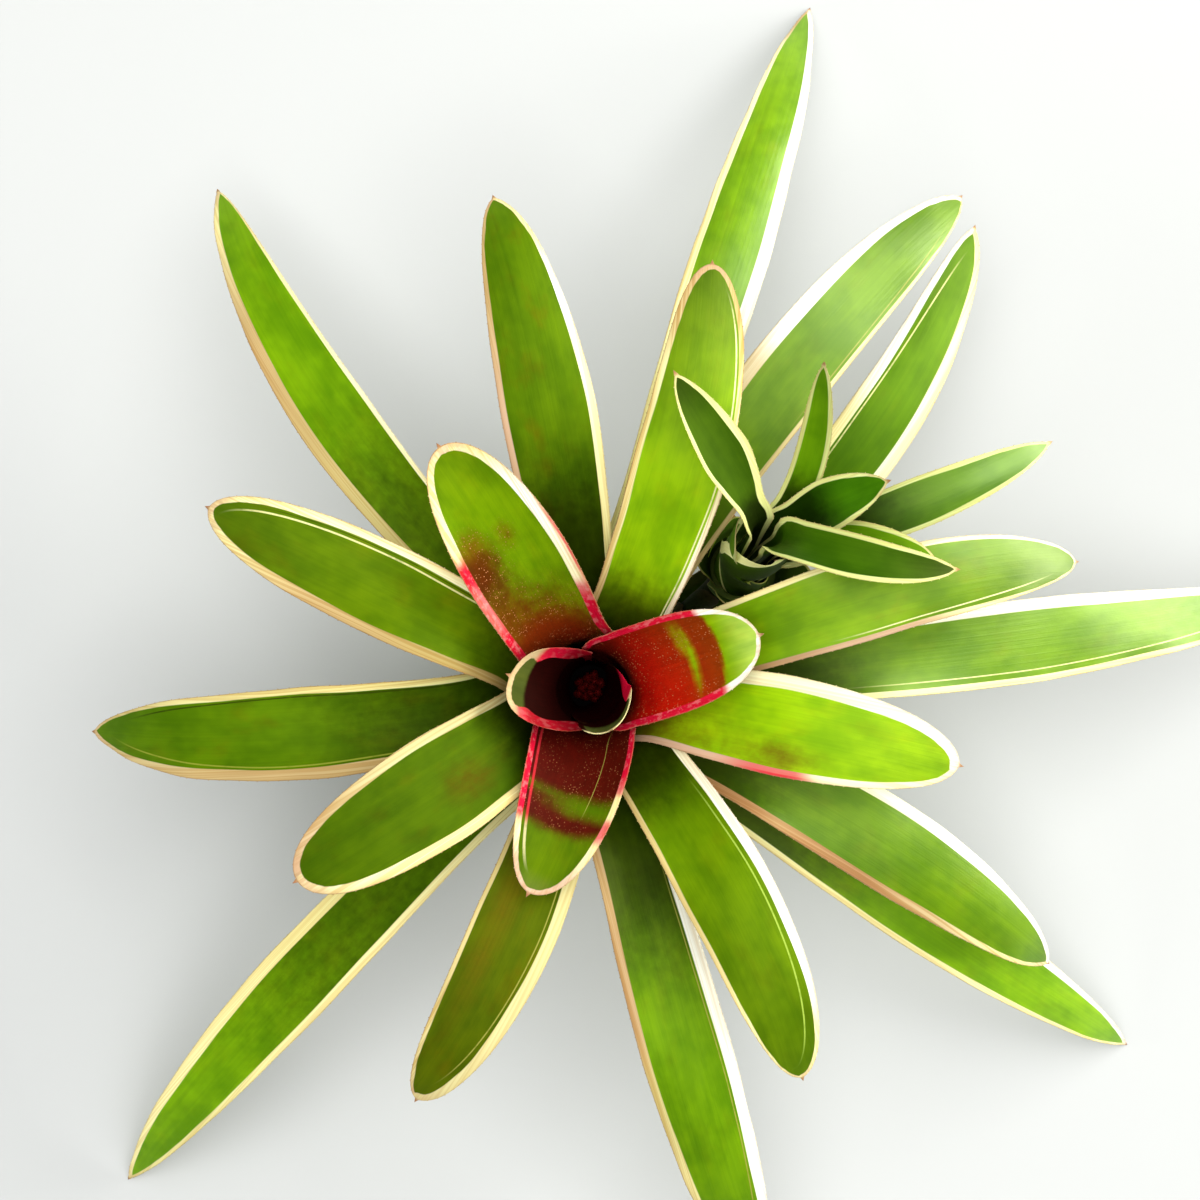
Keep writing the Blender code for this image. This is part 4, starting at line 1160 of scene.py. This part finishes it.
def leaf_finish(name, under_tint, shine, shine_tint):
    """Waxy leaf skin: veins and blotches in the green, painted shade near the throat, a red flush with pale
    flecks, lines and margins.
    """
    f = Finish(name)
    flow = f.attribute("flow")["Vector"]
    margin, rim, to_tip = f.numbers("bands")
    line_one, line_two, flecked = f.numbers("stripes")
    under, base, brown = f.numbers("marks")
    own_rough, frosted, _ = f.numbers("coat")
    skin, edge_tint, flush = f.attribute("skin"), f.attribute("rim"), f.attribute("flush")

    veins = f.noise(flow, (1.1, 0.012, 1.0), detail=3.0, roughness=0.65)
    stripes = f.noise(flow, (0.28, 0.006, 1.0))
    reeds = f.noise(flow, (1.3, 0.006, 1.0), (3.0, 1.0, 0.0))
    blotch = f.noise(flow, (0.07, 0.04, 1.0), detail=3.0, roughness=0.6)
    rust = f.noise(flow, (0.09, 0.05, 1.0), (50.0, 9.0, 0.0), detail=4.0, roughness=0.6)
    mottle = f.noise(flow, (0.30, 0.22, 1.0), detail=3.0, roughness=0.6)
    grain = f.noise(flow, (1.6, 0.8, 1.0))

    green = f.darker(skin["Color"], f.step(blotch, 0.34, 0.68), (0.60, 0.70, 0.60))
    green = f.darker(green, f.step(stripes, 0.4, 0.75, 0.0, 0.4), (1.40, 1.28, 1.0))
    green = f.darker(green, f.step(veins, 0.35, 0.7, 0.0, 0.26), (0.60, 0.68, 0.60))
    green = f.darker(green, f.times(f.step(rust, 0.50, 0.74), edge_tint["Alpha"]), (1.30, 0.72, 0.8))
    # Painted shade towards the throat, carried in the skin attribute's alpha, in part the darker green of the
    # leaf's base.
    green = f.darker(green, f.ragged(skin["Alpha"], mottle, 0.6), (0.10, 0.085, 0.3))
    green = f.mix(f.step(base, 0.0, 1.0, 0.0, 0.85), green, SHEATH_PALE)

    red_share = f.ragged(f.ragged(flush["Alpha"], blotch, 1.0), mottle, 0.9)
    red_share = f.ragged(red_share, grain, 0.35)
    red = f.darker(flush["Color"], f.step(veins, 0.35, 0.7, 0.0, 0.35), (0.62, 0.5, 0.5))
    red = f.darker(red, f.step(mottle, 0.35, 0.7, 0.0, 0.45), (0.62, 0.75, 0.75))
    colour = f.mix(red_share, green, red)

    specks = f.cells(flow, (1.6, 1.25, 1.0))
    small = f.step(specks["Distance"], 0.12, 0.44, 1.0, 0.0)
    gathered = f.step(f.noise(flow, (0.10, 0.07, 1.0), (21.0, 4.0, 0.0), detail=1.0), 0.36, 0.60)
    chosen = f.times(f.step(f.split(specks["Color"])[0], 0.50, 0.95), gathered)
    flecks = f.times(small, chosen)
    colour = f.mix(f.times(flecks, flecked, red_share), colour, SCURF)

    edge_share = f.step(f.math("ADD", margin, f.swing(stripes, 1.2)), -0.18, 0.18, 1.0, 0.0)
    pale = f.darker(edge_tint["Color"], f.step(veins, 0.4, 0.7, 0.0, 0.55), (0.90, 0.82, 0.66))
    outward = f.times(f.step(rim, 0.4, 2.4, 0.75, 0.0), f.step(stripes, 0.35, 0.6, 0.35, 1.0))
    pale = f.darker(pale, f.times(outward, brown), (0.86, 0.72, 0.54))
    pale = f.darker(pale, f.times(f.step(reeds, 0.45, 0.58, 0.0, 0.9), brown), (0.78, 0.64, 0.48))
    husky = f.times(f.step(to_tip, 3.0, 13.0, 0.9, 0.0), f.step(mottle, 0.30, 0.60, 0.2, 1.0))
    pale = f.mix(f.times(husky, brown), pale, TIP_HUSK)
    worn_frost = f.times(f.step(f.noise(flow, (0.55, 0.30, 1.0), (7.0, 3.0, 0.0)), 0.50, 0.64), 0.75)
    pale = f.mix(f.times(f.math("MAXIMUM", worn_frost, flecks), frosted), pale, FROST)
    colour = f.mix(edge_share, colour, pale)

    for distance, given in ((line_one, "line"), (line_two, "second_line")):
        line = f.attribute(given)
        near = f.step(f.math("ABSOLUTE", distance, 0.0), 0.45, 1.25, 0.85, 0.0)
        worn = f.times(near, f.step(mottle, 0.25, 0.5, 0.45, 1.0))
        colour = f.mix(f.times(worn, line["Alpha"]), colour, line["Color"])
    outline = f.times(f.step(rim, 0.10, 0.45, 1.0, 0.0), f.step(grain, 0.3, 0.6, 0.35, 1.0))
    colour = f.mix(f.times(outline, brown), colour, EDGE_BROWN)
    colour = f.mix(f.step(to_tip, 0.9, 2.6, 0.9, 0.0), colour, SPINE_BROWN)

    dull = f.mix(0.45, f.darker(colour, 1.0, (0.80, 0.85, 0.75)), under_tint)
    colour = f.mix(f.times(under, f.step(edge_share, 0.0, 1.0, 0.85, 0.2)), colour, dull)
    rough = f.math("ADD", f.math("ADD", own_rough, f.swing(mottle, 0.16)), f.times(under, 0.15))
    normal = f.bump(grain, 0.15, 0.0001, f.bump(veins, 0.35, 0.0002))
    return f.finished(Base_Color=colour, Roughness=rough, Normal=normal, Specular_IOR_Level=shine,
                      Specular_Tint=shine_tint)


def stem_finish(name):
    """Brown fibrous bark: rings of old leaf scars over fibres that run up the stem."""
    f = Finish(name)
    here = f.here()
    fibres = f.noise(here, (900.0, 900.0, 60.0), detail=3.0, roughness=0.6)
    rings = f.noise(here, (40.0, 40.0, 500.0))
    colour = f.mix(f.step(fibres, 0.3, 0.7), (0.10, 0.055, 0.025), (0.34, 0.24, 0.12))
    colour = f.mix(f.step(rings, 0.45, 0.65, 0.0, 0.6), colour, (0.42, 0.34, 0.20))
    return f.finished(Base_Color=colour, Roughness=0.8,
                      Normal=f.bump(fibres, 0.6, 0.0004, f.bump(rings, 0.5, 0.0006)))


def bud_finish(name):
    """Wine bracts, nearly black at their feet and crimson at their tips."""
    f = Finish(name)
    mottle = f.noise(f.here(), (600.0, 600.0, 200.0), detail=3.0)
    height = f.numbers("place")[0]
    colour = f.mix(f.step(height, 0.40, 0.95), (0.006, 0.0006, 0.0006), (0.15, 0.006, 0.005))
    colour = f.darker(colour, f.step(mottle, 0.3, 0.7, 0.0, 0.8), (0.45, 0.45, 0.45))
    return f.finished(Base_Color=colour, Roughness=0.38, Specular_Tint=(1.0, 0.55, 0.50, 1.0),
                      Normal=f.bump(mottle, 0.3, 0.0002))


def water_finish(name):
    """Still dark water, with faint brown clouds in it."""
    f = Finish(name)
    cloud = f.noise(f.here(), (150.0, 150.0, 150.0), detail=3.0)
    colour = f.mix(f.step(cloud, 0.35, 0.65), (0.0004, 0.0003, 0.0003), (0.0012, 0.0005, 0.0004))
    return f.finished(Base_Color=colour, Roughness=f.step(cloud, 0.3, 0.7, 0.10, 0.16), IOR=1.33,
                      Specular_IOR_Level=0.12)


def stolon_finish(name):
    """Near-black brown stolon under near-black green bracts that turn brown at their tips, all finely
    streaked; their darkness is painted shade.
    """
    f = Finish(name)
    here = f.here()
    streaks = f.noise(here, (900.0, 900.0, 260.0), detail=3.0, roughness=0.6)
    clouds = f.noise(here, (120.0, 120.0, 120.0))
    share = f.numbers("place")[0]
    # The stolon and its bracts are kept near black: painted shade over their brown and green.
    bracts = f.mix(f.step(share, 0.35, 1.0), (0.012, 0.020, 0.003), (0.030, 0.020, 0.006))
    colour = f.mix(f.step(share, -0.6, -0.1), (0.040, 0.026, 0.010), bracts)
    colour = f.darker(colour, f.step(streaks, 0.35, 0.7, 0.0, 0.7), (0.5, 0.5, 0.5))
    colour = f.darker(colour, f.step(clouds, 0.4, 0.7, 0.0, 0.5), (1.5, 1.3, 1.1))
    return f.finished(Base_Color=colour, Roughness=0.8, Specular_IOR_Level=0.1,
                      Normal=f.bump(streaks, 0.5, 0.0003))


# ---------------------------------------------------------------- the plant

FIRST_OFFSET_SEED = 41
FIRST_SCALE_SEED = 61

skins = {gloss: leaf_finish(gloss + " leaf", UNDERSIDE, *shine) for gloss, shine in SHINE.items()}
shoot_skins = {gloss: leaf_finish(gloss + " offset leaf", OFFSET_UNDERSIDE, *SHINE[gloss])
               for gloss in ("dull", "waxy")}

for seed, leaf in enumerate(LEAVES, 1):
    add_leaf(leaf, LEAF_THICKNESS, seed, skins[leaf.gloss])
for seed, leaf in enumerate(OFFSET_LEAVES, FIRST_OFFSET_SEED):
    add_leaf(leaf, OFFSET_LEAF_THICKNESS, seed, shoot_skins[leaf.gloss])
for seed, leaf in enumerate(SCALES, FIRST_SCALE_SEED):
    add_leaf(leaf, OFFSET_LEAF_THICKNESS, seed, shoot_skins[leaf.gloss], "offset_stem")
add_stem(stem_finish("stem bark"))
add_stolon(stolon_finish("stolon and its bracts"))
add_buds(bud_finish("bud bracts"))
add_water(water_finish("cup water"))

# ---------------------------------------------------------------- floor, light and camera

FLOOR_REACH = 4.0
FLOOR_LEVEL = -0.0004
FLOOR_TINT = (0.53, 0.54, 0.53, 1.0)
LIGHTS_AIM = (0.0, 0.0, 0.08)
CAMERA_OFFSET = (3.6, 31.8)     # from the main axis, in millimetres
CAMERA_HEIGHT = 1.150
SKY_TINT = (0.97, 0.98, 1.0, 1.0)


def add_floor():
    """A pale floor without any shine, just below the plant."""
    mesh = bpy.data.meshes.new("floor")
    signs = ((-1, -1), (1, -1), (1, 1), (-1, 1))
    corners = [(x * FLOOR_REACH, y * FLOOR_REACH, FLOOR_LEVEL) for x, y in signs]
    mesh.from_pydata(corners, [], [(0, 1, 2, 3)])
    chalk = Finish("pale floor").finished(Base_Color=FLOOR_TINT, Roughness=0.9, Specular_IOR_Level=0.0)
    mesh.materials.append(chalk)
    floor = bpy.data.objects.new("floor", mesh)
    bpy.context.scene.collection.objects.link(floor)


def add_softbox(name, place, width, height, power, colour, shines=True, lights=True):
    """A rectangular area light aimed at the plant, which may give no highlights or no light."""
    light = bpy.data.lights.new(name, "AREA")
    light.shape = "RECTANGLE"
    light.size = width
    light.size_y = height
    light.energy = power
    light.color = colour
    lamp = bpy.data.objects.new(name, light)
    lamp.location = place
    lamp.visible_glossy = shines
    lamp.visible_diffuse = lights
    lamp.rotation_euler = (Vector(LIGHTS_AIM) - Vector(place)).to_track_quat("-Z", "Y").to_euler()
    bpy.context.scene.collection.objects.link(lamp)


def add_sky():
    """A faint even light from all round."""
    world = bpy.data.worlds.new("studio")
    world.use_nodes = True
    sky = world.node_tree.nodes["Background"].inputs
    sky["Color"].default_value = SKY_TINT
    sky["Strength"].default_value = 0.12
    bpy.context.scene.world = world


def add_camera():
    """Straight above, a little to one side of the axis."""
    data = bpy.data.cameras.new("camera")
    data.lens = 90.0
    data.sensor_width = 36.0
    data.clip_start = 0.01
    camera = bpy.data.objects.new("camera", data)
    camera.location = ((AXIS[0] + CAMERA_OFFSET[0]) * MM, (AXIS[1] + CAMERA_OFFSET[1]) * MM, CAMERA_HEIGHT)
    bpy.context.scene.collection.objects.link(camera)
    bpy.context.scene.camera = camera


add_floor()
add_softbox("key softbox", (2.75, 1.00, 1.20), 3.4, 1.35, 168.0, (1.0, 0.99, 0.95))
add_softbox("overhead softbox", (0.2, 0.2, 2.2), 2.4, 2.4, 70.0, (1.0, 1.0, 1.0), shines=False)
add_softbox("left fill", (-2.2, -0.8, 1.3), 2.0, 1.2, 26.0, (0.97, 1.0, 1.0), shines=False)
add_softbox("sheen card", (1.15, 1.0, 1.9), 1.3, 1.3, 33.0, (0.97, 1.0, 1.0), lights=False)
add_sky()
bpy.context.scene.view_settings.view_transform = "Standard"
add_camera()
